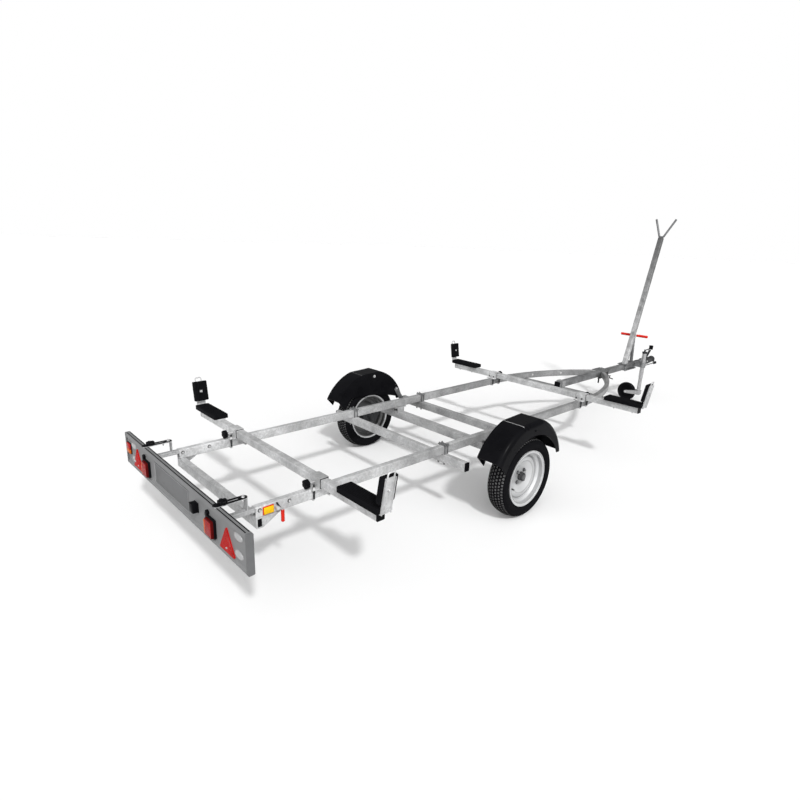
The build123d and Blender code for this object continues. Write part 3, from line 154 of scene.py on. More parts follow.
# Frame steel: rails with bowed front ends, cross members and crossbars of tube, dipped in zinc.
# The dip leaves flat crystals and cloudy stains. Drawbar, clamps, strut and post are darker,
# partly duller zinc and partly painted shade, and rails and post darken towards the front and the
# top as painted shade, where less light reaches them.
def surface(name, colour, rough, metal=0.0, spread=0.1, scale=40.0, bump=0.05, grain=400.0,
            specular=0.5):
    """Make a material whose colour and roughness wander by a noise, with a fine bump."""
    material = bpy.data.materials.new(name)
    material.use_nodes = True
    tree = material.node_tree
    shader = tree.nodes["Principled BSDF"]
    shader.inputs["Metallic"].default_value = metal
    shader.inputs["Specular IOR Level"].default_value = specular
    place = tree.nodes.new("ShaderNodeTexCoord")
    noise = tree.nodes.new("ShaderNodeTexNoise")
    noise.inputs["Scale"].default_value = scale
    noise.inputs["Detail"].default_value = 4.0
    tree.links.new(place.outputs["Object"], noise.inputs["Vector"])
    ramp = tree.nodes.new("ShaderNodeValToRGB")
    low, high = ramp.color_ramp.elements
    low.position, high.position = 0.3, 0.7
    low.color = [c * (1 - spread) for c in colour] + [1]
    high.color = [min(c * (1 + spread), 1) for c in colour] + [1]
    tree.links.new(noise.outputs["Fac"], ramp.inputs["Fac"])
    tree.links.new(ramp.outputs["Color"], shader.inputs["Base Color"])
    worn = ranged(tree, noise.outputs["Fac"], rough * 0.8, min(rough * 1.2, 1))
    tree.links.new(worn, shader.inputs["Roughness"])
    fine = tree.nodes.new("ShaderNodeTexNoise")
    fine.inputs["Scale"].default_value = grain
    tree.links.new(place.outputs["Object"], fine.inputs["Vector"])
    raised = tree.nodes.new("ShaderNodeBump")
    raised.inputs["Strength"].default_value = bump
    raised.inputs["Distance"].default_value = 0.001
    tree.links.new(fine.outputs["Fac"], raised.inputs["Height"])
    tree.links.new(raised.outputs["Normal"], shader.inputs["Normal"])
    return material


def toned(material, shade):
    """Multiply a material's base colour by a shade socket."""
    tree = material.node_tree
    base = tree.nodes["Principled BSDF"].inputs["Base Color"]
    blend = tree.nodes.new("ShaderNodeMix")
    blend.data_type = "RGBA"
    blend.blend_type = "MULTIPLY"
    blend.inputs["Factor"].default_value = 1.0
    tree.links.new(base.links[0].from_socket, blend.inputs["A"])
    tree.links.new(shade, blend.inputs["B"])
    tree.links.new(blend.outputs["Result"], base)


def dipped(name, colour, rough, spread, stains, crystals, contrast, bump=0.12):
    """Make a zinc dip: cloudy stains, and flat crystal cells of random tone."""
    material = surface(name, colour, rough, metal=0.2, spread=spread, scale=stains, bump=bump,
                       grain=240.0)
    tree = material.node_tree
    place = tree.nodes.new("ShaderNodeTexCoord")
    cells = tree.nodes.new("ShaderNodeTexVoronoi")
    cells.inputs["Scale"].default_value = crystals
    tree.links.new(place.outputs["Object"], cells.inputs["Vector"])
    toned(material, ranged(tree, cells.outputs["Color"], 1 - contrast, 1 + contrast))
    return material


def own_axes(tree):
    """Give the sockets of a piece's own X, Y and Z."""
    place = tree.nodes.new("ShaderNodeTexCoord")
    parts = tree.nodes.new("ShaderNodeSeparateXYZ")
    tree.links.new(place.outputs["Object"], parts.inputs[0])
    return parts.outputs


def fade(material, axis, start, end, last):
    """Darken a material along an axis, from full tone at the start to a last share."""
    tree = material.node_tree
    toned(material, ranged(tree, own_axes(tree)[axis], 1.0, last, start, end))


def coat(material, *starts):
    """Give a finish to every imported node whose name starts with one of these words."""
    for name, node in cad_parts.items():
        if name.startswith(starts):
            node.data.materials.clear()
            node.data.materials.append(material)


galvanised = dipped("galvanised", (0.51, 0.513, 0.516), 0.42, 0.30, 7.0, 95.0, 0.18)
coat(galvanised, "rear_", "crossbar", "side_bracket", "slide_levers", "handle_bar")
rail_zinc_and_shade = dipped("rail_zinc_and_shade", (0.56, 0.563, 0.566), 0.42, 0.30, 7.0, 95.0, 0.18)
# Painted shade: this zinc darkens towards the front, where less light reaches the frame.
fade(rail_zinc_and_shade, "X", axle.x - 1.5, axle.x + 0.9, 0.42)
coat(rail_zinc_and_shade, "rail", "front_cross", "aft_cross", "fore_cross", "axle_beam")
# A dark zinc, partly duller steel and partly painted shade for parts far off or in shadow.
dull_zinc_and_shade = dipped("dull_zinc_and_shade", (0.145, 0.147, 0.150), 0.45, 0.45, 11.0, 80.0, 0.25, bump=0.14)
coat(dull_zinc_and_shade, "drawbar", "bow_clamp", "post_clamp", "jockey_clamp", "mast_fork",
     "mudguard_stays", "post_strut")
post_zinc_and_shade = dipped("post_zinc_and_shade", (0.40, 0.402, 0.405), 0.45, 0.35, 16.0, 80.0, 0.25)
# Painted shade: the post's zinc darkens towards its top, where less light reaches it.
fade(post_zinc_and_shade, "Z", box("mast_post")[0].z, box("mast_post")[1].z, 0.20)
coat(post_zinc_and_shade, "mast_post")


# Rail bolts: zinc-plated hexagon heads, on dark washers through the rails near their rear ends
# and on bright ones along the inner faces of the bows.
def piece(name, bm, materials, body, angle=35, stands_for=None):
    """Turn a bmesh into a piece on a body, smooth but for edges sharper than the angle."""
    bmesh.ops.recalc_face_normals(bm, faces=bm.faces)
    mesh = bpy.data.meshes.new(name)
    bm.to_mesh(mesh)
    bm.free()
    mesh.shade_smooth()
    mesh.set_sharp_from_angle(angle=radians(angle))
    for material in materials:
        mesh.materials.append(material)
    made = bpy.data.objects.new(name, mesh)
    scene.collection.objects.link(made)
    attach(made, body)
    if stands_for:
        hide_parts(stands_for)


def facing(origin, axis):
    """Give the matrix that puts local z along an axis at an origin."""
    aim = Vector(axis).to_track_quat("Z", "Y").to_matrix().to_4x4()
    return Matrix.Translation(origin) @ aim


def turned(bm, low, high, radius, end_radius, place, sides):
    """Add a round or many-sided bar between two heights of a place."""
    middle = Matrix.Translation((0, 0, (low + high) / 2))
    return bmesh.ops.create_cone(bm, cap_ends=True, segments=sides, radius1=radius,
                                 radius2=end_radius, depth=high - low,
                                 matrix=place @ middle)["verts"]


def bolt(bm, origin, axis, radius, height, shank=0.0):
    """Add a hexagon head and any shank end above it, and give the washer's faces."""
    place = facing(origin, axis)
    washer = turned(bm, 0, height * 0.25, radius * 1.35, radius * 1.27, place, 20)
    turned(bm, height * 0.25, height, radius, radius * 0.94, place, 6)
    if shank:
        turned(bm, height, height + shank, radius * 0.55, radius * 0.42, place, 14)
    return {face for corner in washer for face in corner.link_faces}


SIDES = (("left", 1), ("right", -1))
HANDS = (1, -1)
RAIL_Y = box("rear_gussets")[1].y - 0.020
RAIL_FACE = 0.0199
RAIL_REAR = box("rail_left")[0].x
RAIL_LOW, RAIL_HIGH = box("rail_left")[0].z, box("rail_left")[1].z
RAIL_BOLT_R, RAIL_BOLT_H = 0.0085, 0.006
RAIL_BOLT_REACHES, RAIL_BOLT_Z = (0.022, 0.192), 0.474
BOW_START, BOW_R = axle.x + 1.400, 1.930
BOW_BOLT_TURNS, BOW_BOLT_Z = (16, 27), 0.468
zinc = surface("bright_zinc", (0.55, 0.55, 0.55), 0.28, metal=0.6, spread=0.10, scale=60.0)
dark_steel = surface("dark_steel", (0.030, 0.031, 0.033), 0.45, metal=0.1, spread=0.30,
                     scale=45.0, bump=0.15, specular=0.12)
bm = bmesh.new()
for hand in HANDS:
    for face in (-1, 1):
        for reach in RAIL_BOLT_REACHES:
            seat = (RAIL_REAR + reach, hand * RAIL_Y + face * RAIL_FACE, RAIL_BOLT_Z)
            for ring in bolt(bm, seat, (0, face, 0), RAIL_BOLT_R, RAIL_BOLT_H):
                ring.material_index = 1
    for angle in BOW_BOLT_TURNS:
        t = radians(angle)
        inward = Vector((-sin(t), -hand * cos(t), 0))
        bow_y = hand * (RAIL_Y - BOW_R * (1 - cos(t)))
        middle = Vector((BOW_START + BOW_R * sin(t), bow_y, BOW_BOLT_Z))
        bolt(bm, middle + inward * RAIL_FACE, inward, RAIL_BOLT_R, RAIL_BOLT_H)
piece("rail_bolts", bm, [zinc, dark_steel], "frame")


# Cross-member clamps: where the two middle members pass under the rails, a flat plate lies on
# the rail. Four long bolts with nuts at both ends pull the plate and the member together.
def rod(bm, start, end, radius, sides=14):
    """Add a round bar between two points."""
    run = Vector(end) - Vector(start)
    turned(bm, 0, run.length, radius, radius, facing(start, run), sides)


def slab(bm, centre, size, bevel, turn=Matrix()):
    """Add a block with rounded edges."""
    place = Matrix.Translation(centre) @ turn @ Matrix.Diagonal((*size, 1))
    corners = bmesh.ops.create_cube(bm, size=1, matrix=place)["verts"]
    edges = list({edge for corner in corners for edge in corner.link_edges})
    bmesh.ops.bevel(bm, geom=edges, offset=bevel, segments=2, profile=0.5, affect="EDGES",
                    material=-1)


CLAMP_PLATE = (0.044, 0.070, 0.004)
CLAMP_BOLT_DX, CLAMP_BOLT_DY, CLAMP_BOLT_R = 0.013, 0.026, 0.0045
CLAMP_NUT_R, CLAMP_NUT_H = 0.0070, 0.007
bm = bmesh.new()
for node in ("aft_cross_member", "fore_cross_member"):
    member = middle_of(node)
    member_low = box(node)[0].z
    for hand in HANDS:
        slab(bm, (member.x, hand * RAIL_Y, RAIL_HIGH + 0.0020), CLAMP_PLATE, 0.001)
        for dx in (-CLAMP_BOLT_DX, CLAMP_BOLT_DX):
            for dy in (-CLAMP_BOLT_DY, CLAMP_BOLT_DY):
                x, y = member.x + dx, hand * RAIL_Y + dy
                rod(bm, (x, y, member_low - 0.012), (x, y, RAIL_HIGH + 0.004), CLAMP_BOLT_R)
                bolt(bm, (x, y, RAIL_HIGH + 0.0039), (0, 0, 1), CLAMP_NUT_R, CLAMP_NUT_H, 0.004)
                bolt(bm, (x, y, member_low + 0.0001), (0, 0, -1), CLAMP_NUT_R, CLAMP_NUT_H)
piece("member_clamps", bm, [dull_zinc_and_shade], "frame")

# Drawbar fittings: a locking pin hangs from a lug on the bow clamp's lower plate,
# and a bent release rod reaches forward under it. Both are steel that has gone nearly black.
LUG_SIZE = (0.096, 0.026, 0.005)
PIN_R, PIN_HEAD_R, RELEASE_R = 0.0075, 0.0110, 0.0060
clamp_low, clamp_high = box("bow_clamp")
plate_z = RAIL_LOW - 0.0030
lug = Vector((clamp_low.x - 0.034, -0.050, plate_z))
pin = lug + Vector((-0.034, 0, 0))
elbow = Vector((clamp_high.x - 0.018, -0.068, plate_z - 0.022))
bm = bmesh.new()
slab(bm, lug, LUG_SIZE, 0.0015)
rod(bm, pin + Vector((0, 0, 0.010)), pin - Vector((0, 0, 0.052)), PIN_R)
rod(bm, pin + Vector((0, 0, 0.004)), pin + Vector((0, 0, 0.014)), PIN_HEAD_R)
rod(bm, elbow + Vector((-0.004, 0, 0.023)), elbow, RELEASE_R)
rod(bm, elbow + Vector((-0.003, 0, 0.001)), elbow + Vector((0.080, 0, -0.024)), RELEASE_R)
piece("drawbar_pins", bm, [dark_steel], "frame")

# Tube caps: black moulded plugs pushed into the open ends of the tubes.
# The rear member's mouths have a zinc end plate with a narrow black slab in its slot, painted
# shade for the dark inside of the tube.
MOUTH_PLATE = (0.0335, 0.004, 0.0535)
MOUTH_SHADE = (0.0240, 0.004, 0.0440)
black = surface("black_plastic", (0.005, 0.005, 0.006), 0.30, spread=0.2, scale=30.0, bump=0.04,
                specular=0.025)
coat(black, "tube_caps")
low, high = box("rear_cross_member")
mouth_x, mouth_z = low.x + 0.020, (low.z + high.z) / 2
plates = bmesh.new()
mouth_shade_mesh = bmesh.new()
for hand in HANDS:
    mouth_y = hand * (high.y - 0.0026)
    slab(plates, (mouth_x, mouth_y, mouth_z), MOUTH_PLATE, 0.001)
    # Painted shade: a black slab for the dark inside of the tube's mouth.
    slab(mouth_shade_mesh, (mouth_x, mouth_y + hand * 0.001, mouth_z), MOUTH_SHADE, 0.001)
piece("mouth_plates", plates, [galvanised], "frame")
piece("mouth_shade", mouth_shade_mesh, [black], "frame")

# Axle ends: forged trailing arms and cast hubs, painted nearly black.
# The same dull paint covers the cast coupling and the jockey wheel's crank.
coat(dark_steel, "swing_arm", "hub", "coupling", "jockey_crank")


# Rims: pressed steel discs, painted silver. The inner side of the dish is darkened with painted
# shade, and the paint darkens in thin rings at the steps and round the hub, painted shade in
# their corners.
def maths(tree, operation, *values):
    """Add a math node that takes sockets or numbers."""
    node = tree.nodes.new("ShaderNodeMath")
    node.operation = operation
    for slot, value in zip(node.inputs, values):
        if isinstance(value, bpy.types.NodeSocket):
            tree.links.new(value, slot)
        else:
            slot.default_value = value
    return node.outputs[0]


def from_axle(tree, axes):
    """Give the distance from the wheels' common axis."""
    flat = tree.nodes.new("ShaderNodeCombineXYZ")
    tree.links.new(axes["X"], flat.inputs["X"])
    tree.links.new(axes["Z"], flat.inputs["Z"])
    reach = tree.nodes.new("ShaderNodeVectorMath")
    reach.operation = "DISTANCE"
    reach.inputs[1].default_value = (axle.x, 0, axle.z)
    tree.links.new(flat.outputs[0], reach.inputs[0])
    return reach.outputs["Value"]


def banded(tree, value, steps):
    """Read a tone off a row of (place, tone) steps."""
    ramp = tree.nodes.new("ShaderNodeValToRGB")
    marks = ramp.color_ramp.elements
    marks.remove(marks[1])
    for place, tone in steps:
        mark = marks.new(place) if place else marks[0]
        mark.color = (tone, tone, tone, 1)
    tree.links.new(value, ramp.inputs["Fac"])
    return ramp.outputs["Color"]


RIM_RADIUS, LIP_RADIUS = 0.2, 0.186
# Painted shade: dark rings at the steps of the rim, and a darker middle round the hub.
RIM_STEP_SHADE = ((0.0, 0.55), (0.30, 0.60), (0.36, 0.95), (0.54, 1.0), (0.575, 0.62), (0.605, 0.98),
             (0.70, 1.0), (0.745, 0.32), (0.775, 0.95), (0.865, 1.0), (0.885, 0.36),
             (0.910, 1.0), (1.0, 1.0))
DISH_STEPS = ((0.0, 0.0), (0.335, 0.0), (0.61, 1.0), (0.807, 0.333), (1.0, 0.333))
DISH_RISE = 0.024
INNER_SHADE, INNER_SIDE, OUTER_SIDE = 0.16, 0.0010, 0.0040
rim_paint_and_shade = surface("rim_paint_and_shade", (0.56, 0.565, 0.57), 0.30, metal=0.25, spread=0.04, scale=12.0)
tree = rim_paint_and_shade.node_tree
axes = own_axes(tree)
reach = from_axle(tree, axes)
share = maths(tree, "DIVIDE", reach, RIM_RADIUS)
toned(rim_paint_and_shade, banded(tree, share, RIM_STEP_SHADE))
away = maths(tree, "ABSOLUTE", axes["Y"])
depth = maths(tree, "MULTIPLY_ADD", banded(tree, share, DISH_STEPS), -DISH_RISE, away)
# Painted shade on the inner side of the dish, which lies in shadow.
dish_shade = ranged(tree, depth, INNER_SHADE, 1.0, axle.y + INNER_SIDE, axle.y + OUTER_SIDE)
lip = maths(tree, "GREATER_THAN", reach, LIP_RADIUS)
toned(rim_paint_and_shade, maths(tree, "MAXIMUM", lip, dish_shade))
coat(rim_paint_and_shade, "rim")


# Tyres: black rubber carcasses turned from their section, with six rows of tread blocks round
# each. The blocks are grey on top, partly wear and partly a painted highlight. These tyres take
# the place of the plain solid ones.
def lathe(bm, outline, centre, axis, spoke, steps):
    """Turn an outline of (along the axis, out from it) pairs round an axis."""
    axis, spoke = Vector(axis), Vector(spoke)
    line = [bm.verts.new(Vector(centre) + axis * along + spoke * out) for along, out in outline]
    edges = [bm.edges.new(pair) for pair in zip(line, line[1:])]
    bmesh.ops.spin(bm, geom=line + edges, cent=centre, axis=axis, angle=2 * pi, steps=steps,
                   use_merge=True)
    bmesh.ops.remove_doubles(bm, verts=bm.verts, dist=0.00004)


TYRE_R = 0.281
CROWN_HALF, CROWN_DROP = 0.058, 0.012
WALL = ((-0.0565, 0.1975), (-0.0600, 0.2000), (-0.0660, 0.2080), (-0.0700, 0.2150),
        (-0.0716, 0.2150), (-0.0740, 0.2250), (-0.0757, 0.2350), (-0.0745, 0.2460),
        (-0.0752, 0.2462), (-0.0742, 0.2500), (-0.0700, 0.2580), (-0.0640, 0.2640),
        (-0.0560, 0.2630), (-0.0300, 0.2700))
CROWN = ((0.0, 0.2738),)
TREAD_ROWS = ((-0.0520, 0.0150, 0.0), (-0.0325, 0.0130, 0.5), (-0.0110, 0.0140, 0.15),
              (0.0110, 0.0140, 0.65), (0.0325, 0.0130, 0.3), (0.0520, 0.0150, 0.8))
BLOCKS, BLOCK_SKEW = 76, 0.10
BLOCK_DEPTH, BLOCK_LENGTH, BLOCK_TAPER = 0.0096, 0.0155, 0.88
BLOCK_INSET = 0.0006
HALF_DIAGONAL = 0.5 ** 0.5
tyre_rubber = surface("tyre_rubber", (0.006, 0.006, 0.007), 0.70, spread=0.25, scale=60.0,
                      bump=0.25, specular=0.02)
# Grey block tops: partly wear, partly a painted highlight on the tread.
tread_wear_and_highlight = surface("worn_tread_and_highlight", (0.085, 0.085, 0.086), 0.75, spread=0.55, scale=130.0,
                     bump=0.25, specular=0.05)
coat(tyre_rubber, "jockey_wheel")
section = WALL + CROWN + tuple((-across, out) for across, out in reversed(WALL)) + WALL[:1]
for side, hand in SIDES:
    centre = Vector((axle.x, hand * axle.y, axle.z))
    bm = bmesh.new()
    lathe(bm, section, centre, (0, 1, 0), (0, 0, 1), 96)
    for across, width, phase in TREAD_ROWS:
        drop = CROWN_DROP * (across / CROWN_HALF) ** 2
        slope = atan(2 * CROWN_DROP * across / CROWN_HALF ** 2)
        skew = Matrix.Rotation(BLOCK_SKEW if across > 0 else -BLOCK_SKEW, 4, "Z")
        height = TYRE_R - drop - BLOCK_INSET - BLOCK_DEPTH / 2
        seat = (Matrix.Translation(centre) @ Matrix.Rotation(2 * pi * phase / BLOCKS, 4, "Y")
                @ Matrix.Translation((0, across, height))
                @ Matrix.Rotation(-slope, 4, "X") @ skew
                @ Matrix.Diagonal((BLOCK_LENGTH, width, BLOCK_DEPTH, 1))
                @ Matrix.Rotation(radians(45), 4, "Z"))
        corners = bmesh.ops.create_cone(bm, cap_ends=True, segments=4, radius1=HALF_DIAGONAL,
                                        radius2=HALF_DIAGONAL * BLOCK_TAPER, depth=1,
                                        matrix=seat)["verts"]
        faces = list({face for corner in corners for face in corner.link_faces})
        top = max(faces, key=lambda face: (face.calc_center_median() - centre).length)
        top.material_index = 1
        edges = list({edge for corner in corners for edge in corner.link_edges})
        bmesh.ops.spin(bm, geom=corners + edges + faces, cent=centre, axis=(0, 1, 0),
                       angle=2 * pi * (BLOCKS - 1) / BLOCKS, steps=BLOCKS - 1,
                       use_duplicate=True)
    piece(f"tread_{side}", bm, [tyre_rubber, tread_wear_and_highlight], f"wheel_{side}", 32,
          f"tyre_{side}")

# Wheel trim: four dull wheel bolts on dark washers, a glossy black push-on dust cap over the
# hub's nose, and the rubber valve through the disc.
WHEEL_BOLT_RING, WHEEL_BOLT_R, WHEEL_BOLT_H = 0.050, 0.0100, 0.0125
VALVE_RING, VALVE_TURN = 0.140, radians(200)
CAP_SECTION = ((0.0352, 0.0), (0.0350, 0.016), (0.0325, 0.024), (0.0250, 0.0293),
               (0.0095, 0.0295), (0.0090, 0.0320), (0.0056, 0.0322), (0.0055, 0.0292),
               (0.0055, 0.0))
cap_black = surface("cap_black", (0.020, 0.020, 0.021), 0.16, spread=0.2, scale=30.0, bump=0.04,
                    specular=0.9)
for side, hand in SIDES:
    centre = Vector((axle.x, hand * axle.y, axle.z))
    out = Vector((0, hand, 0))
    bm = bmesh.new()
    for index in range(4):
        t = radians(45 + 90 * index)
        spoke = Vector((WHEEL_BOLT_RING * cos(t), hand * 0.0052, WHEEL_BOLT_RING * sin(t)))
        for ring in bolt(bm, centre + spoke, out, WHEEL_BOLT_R, WHEEL_BOLT_H, 0.003):
            ring.material_index = 1
    piece(f"wheel_bolts_{side}", bm, [dull_zinc_and_shade, dark_steel], f"wheel_{side}")
    bm = bmesh.new()
    lathe(bm, CAP_SECTION, centre, out, (1, 0, 0), 32)
    valve = centre + Vector((VALVE_RING * cos(VALVE_TURN), hand * 0.024,
                             VALVE_RING * sin(VALVE_TURN)))
    rod(bm, valve, valve + out * 0.022, 0.0055)
    rod(bm, valve + out * 0.022, valve + out * 0.032, 0.0042)
    piece(f"dust_cap_{side}", bm, [cap_black], f"wheel_{side}")

# Mudguards: glossy black plastic shells, with a pale painted highlight along the creases of their
# tops, the right one brighter. Bright bolts hold the inner walls, and black studs sit in the
# outer walls and rear faces.
# Painted highlight: pale lines along the top creases, weaker on the left guard.
CREASE_HIGHLIGHTS = ((107, 0.0050, 0.42), (79, 0.0040, 0.05))
CROWN_RADIUS = 0.4100
LEFT_HIGHLIGHT = 0.25
GUARD_BOLTS = ((0.020, 0.650, 0.0095), (0.285, 0.500, 0.0085))
STUD_AHEAD, STUD_Z = -0.006, 0.630
REAR_STUD_TURN, REAR_STUD_RING, REAR_STUD_Y = radians(138), 0.4158, 0.872
guard_black = surface("guard_black", (0.005, 0.005, 0.006), 0.28, spread=0.2, scale=9.0,
                      bump=0.03, specular=0.03)
tree = guard_black.node_tree
axes = own_axes(tree)
ahead = maths(tree, "SUBTRACT", axes["X"], axle.x)
above = maths(tree, "SUBTRACT", axes["Z"], axle.z)
bearing = maths(tree, "ARCTAN2", above, ahead)
crown = maths(tree, "GREATER_THAN", from_axle(tree, axes), CROWN_RADIUS)
highlight_share = maths(tree, "MULTIPLY", crown, ranged(tree, axes["Y"], LEFT_HIGHLIGHT, 1.0, 0.0, -0.010))
base = tree.nodes["Principled BSDF"].inputs["Base Color"]
# Paint the pale crease highlight into the base colour.
for crease, width, tone in CREASE_HIGHLIGHTS:
    near = maths(tree, "COMPARE", bearing, radians(crease), width)
    crease_highlight = tree.nodes.new("ShaderNodeMix")
    crease_highlight.data_type = "RGBA"
    crease_highlight.inputs["B"].default_value = (tone, tone, tone, 1)
    tree.links.new(maths(tree, "MULTIPLY", near, highlight_share), crease_highlight.inputs["Factor"])
    tree.links.new(base.links[0].from_socket, crease_highlight.inputs["A"])
    tree.links.new(crease_highlight.outputs["Result"], base)
coat(guard_black, "mudguard_left", "mudguard_right")
bolts = bmesh.new()
studs = bmesh.new()
for side, hand in SIDES:
    low, high = box(f"mudguard_{side}")
    inner_y, outer_y = (low.y, high.y) if hand > 0 else (high.y, low.y)
    for ahead, z, radius in GUARD_BOLTS:
        bolt(bolts, (axle.x + ahead, inner_y, z), (0, -hand, 0), radius, 0.007)
    bolt(studs, (axle.x + STUD_AHEAD, outer_y, STUD_Z), (0, hand, 0), 0.0075, 0.005)
    out = Vector((cos(REAR_STUD_TURN), 0, sin(REAR_STUD_TURN)))
    hub = Vector((axle.x, hand * REAR_STUD_Y, axle.z))
    bolt(studs, hub + out * REAR_STUD_RING, out, 0.0080, 0.005)
piece("guard_bolts", bolts, [zinc], "frame")
piece("guard_studs", studs, [black], "frame")


# Crossbar clamps: a moulded star knob tightens each sleeve on its crossbar. A thin black plate at
# either end of the sleeve is painted shade for the gap round the bar. Nuts on the dull threaded
# legs of the U bolts hold the sleeve to the rail.
def star_knob(bm, origin, axis, radius, thick):
    """Add a six-lobed hand knob with rounded edges and a raised middle."""
    place = facing(origin, axis)
    inside = place.inverted()
    rim = turned(bm, 0, thick, radius, radius, place, 24)
    spots = {v: inside @ v.co for v in rim}
    hollows = [v for v in rim if cos(6 * atan2(spots[v].y, spots[v].x)) > 0.9]
    bmesh.ops.scale(bm, vec=(0.82, 0.82, 1), space=inside, verts=hollows)
    edges = {edge for v in rim for edge in v.link_edges}
    edges = [edge for edge in edges
             if abs(spots[edge.verts[0]].z - spots[edge.verts[1]].z) < 0.001]
    bmesh.ops.bevel(bm, geom=edges, offset=0.0025, segments=2, profile=0.5, affect="EDGES",
                    material=-1)
    turned(bm, thick - 0.001, thick + 0.003, radius * 0.42, radius * 0.34, place, 20)


ENDS = (("rear", -1), ("front", 1))
KNOB_R, KNOB_T, KNOB_REACH = 0.0262, 0.0240, 0.0710
GAP_SHADE_SIZE, GAP_SHADE_OUT = (0.0545, 0.0040, 0.0545), 0.045 + 0.0018
U_BOLT_DX, U_BOLT_DY, U_BOLT_R, U_NUT_R = 0.052, 0.0262, 0.0054, 0.0095
nuts = bmesh.new()
legs = bmesh.new()
knobs_and_gap_shade = bmesh.new()
for end, way in ENDS:
    bar = middle_of(f"crossbar_{end}")
    for hand in HANDS:
        star_knob(knobs_and_gap_shade, (bar.x + way * KNOB_REACH, hand * RAIL_Y, bar.z), (way, 0, 0), KNOB_R,
                  KNOB_T)
        # Painted shade: black plates at the sleeve's ends stand for the shadow in the gap.
        for gap_side in (-1, 1):
            slab(knobs_and_gap_shade, (bar.x, hand * RAIL_Y + gap_side * GAP_SHADE_OUT, bar.z), GAP_SHADE_SIZE, 0.001)
        for dx in (-U_BOLT_DX, U_BOLT_DX):
            for dy in (-U_BOLT_DY, U_BOLT_DY):
                leg = Vector((bar.x + dx, hand * RAIL_Y + dy, 0))
                seat = leg + Vector((0, 0, RAIL_HIGH + 0.0049))
                bolt(nuts, seat, (0, 0, 1), U_NUT_R, U_NUT_R)
                foot = leg + Vector((0, 0, RAIL_LOW + 0.003))
                rod(legs, foot, leg + Vector((0, 0, RAIL_HIGH + 0.027)), U_BOLT_R)
piece("u_bolt_nuts", nuts, [zinc], "frame")
piece("u_bolt_threads", legs, [dark_steel], "frame")
piece("clamp_knobs_and_gap_shade", knobs_and_gap_shade, [black], "frame")


# Pads: extruded black rubber with grooves along the length, bolted to the crossbars and to the
# brackets. The flat ones carry the hulls and the leaning ones keep them from sliding out.
def ribbed_pad(name, foot, along, out, size, grooves, node):
    """Extrude a grooved section along a pad's length, drawn in a little at both ends."""
    width, length, thick = size
    along, out = Vector(along).normalized(), Vector(out).normalized()
    across = along.cross(out)
    half = width / 2
    pitch = (width - 0.012) / grooves
    groove_z = thick - 0.0026
    section = [(-half, 0.0), (-half, thick - 0.006), (-half + 0.004, thick - 0.001)]
    for index in range(grooves):
        left = -half + 0.006 + index * pitch
        section += [(left + pitch * 0.04, thick), (left + pitch * 0.62, thick),
                    (left + pitch * 0.68, groove_z), (left + pitch * 0.92, groove_z)]
    section += [(half - 0.006, thick), (half - 0.004, thick - 0.001), (half, thick - 0.006),
                (half, 0.0)]
    bm = bmesh.new()
    corners = [bm.verts.new(Vector(foot) + across * x + out * z) for x, z in section]
    face = end_cap = bm.faces.new(corners)
    pad_axes = Matrix((across, along, out)).transposed().to_4x4()
    inside = (Matrix.Translation(foot) @ pad_axes).inverted()
    bmesh.ops.scale(bm, vec=(0.94, 1, 0.94), space=inside, verts=list(face.verts))
    for run, grow in ((0.003, 1.045), (0.006, 1.018), (length - 0.018, 1.0), (0.006, 0.982),
                      (0.003, 0.957)):
        made = bmesh.ops.extrude_face_region(bm, geom=[face])["geom"]
        if face is not end_cap:
            bmesh.ops.delete(bm, geom=[face], context="FACES_ONLY")
        face = next(part for part in made if isinstance(part, bmesh.types.BMFace))
        bmesh.ops.scale(bm, vec=(grow, 1, grow), space=inside, verts=list(face.verts))
        bmesh.ops.translate(bm, vec=along * run, verts=list(face.verts))
    piece(name, bm, [pad_rubber], "frame", 30, node)


PAD_LEAN = radians(9)
REST_GROOVES, LEAN_GROOVES = 8, 7
REST_BOLTS = (0.075, 0.235)
BAR_HALF = 0.0249
BRACKET_Y, BRACKET_Z, LEAN_RISE = 1.022, 0.550, 0.062
LEAN_SIZE = (0.100, 0.142, 0.026)
pad_rubber = surface("pad_rubber", (0.006, 0.006, 0.007), 0.60, spread=0.25, scale=70.0,
                     bump=0.25, specular=0.02)
bolts = bmesh.new()
for end, way in ENDS:
    bar = middle_of(f"crossbar_{end}")
    for side, hand in SIDES:
        low, high = box(f"hull_pad_{end}_{side}")
        inner_y = low.y if hand > 0 else high.y
        ribbed_pad(f"rest_pad_{end}_{side}", (bar.x, inner_y, low.z), (0, hand, 0), (0, 0, 1),
                   high - low, REST_GROOVES, f"hull_pad_{end}_{side}")
        for reach in REST_BOLTS:
            seat = (bar.x, inner_y + hand * reach, bar.z - BAR_HALF)
            bolt(bolts, seat, (0, 0, -1), 0.0080, 0.007, 0.006)
        rise = Vector((0, hand * sin(PAD_LEAN), cos(PAD_LEAN)))
        inward = Vector((0, -hand * cos(PAD_LEAN), sin(PAD_LEAN)))
        foot = Vector((bar.x, hand * BRACKET_Y, BRACKET_Z)) + rise * LEAN_RISE
        ribbed_pad(f"lean_pad_{end}_{side}", foot, rise, inward, LEAN_SIZE, LEAN_GROOVES,
                   f"side_pad_{end}_{side}")
        middle = foot + rise * 0.070
        bolt(bolts, middle + inward * 0.0245, inward, 0.0085, 0.004)
        bolt(bolts, middle - inward * 0.0049, -inward, 0.0095, 0.008, 0.005)
piece("pad_bolts", bolts, [zinc], "frame")


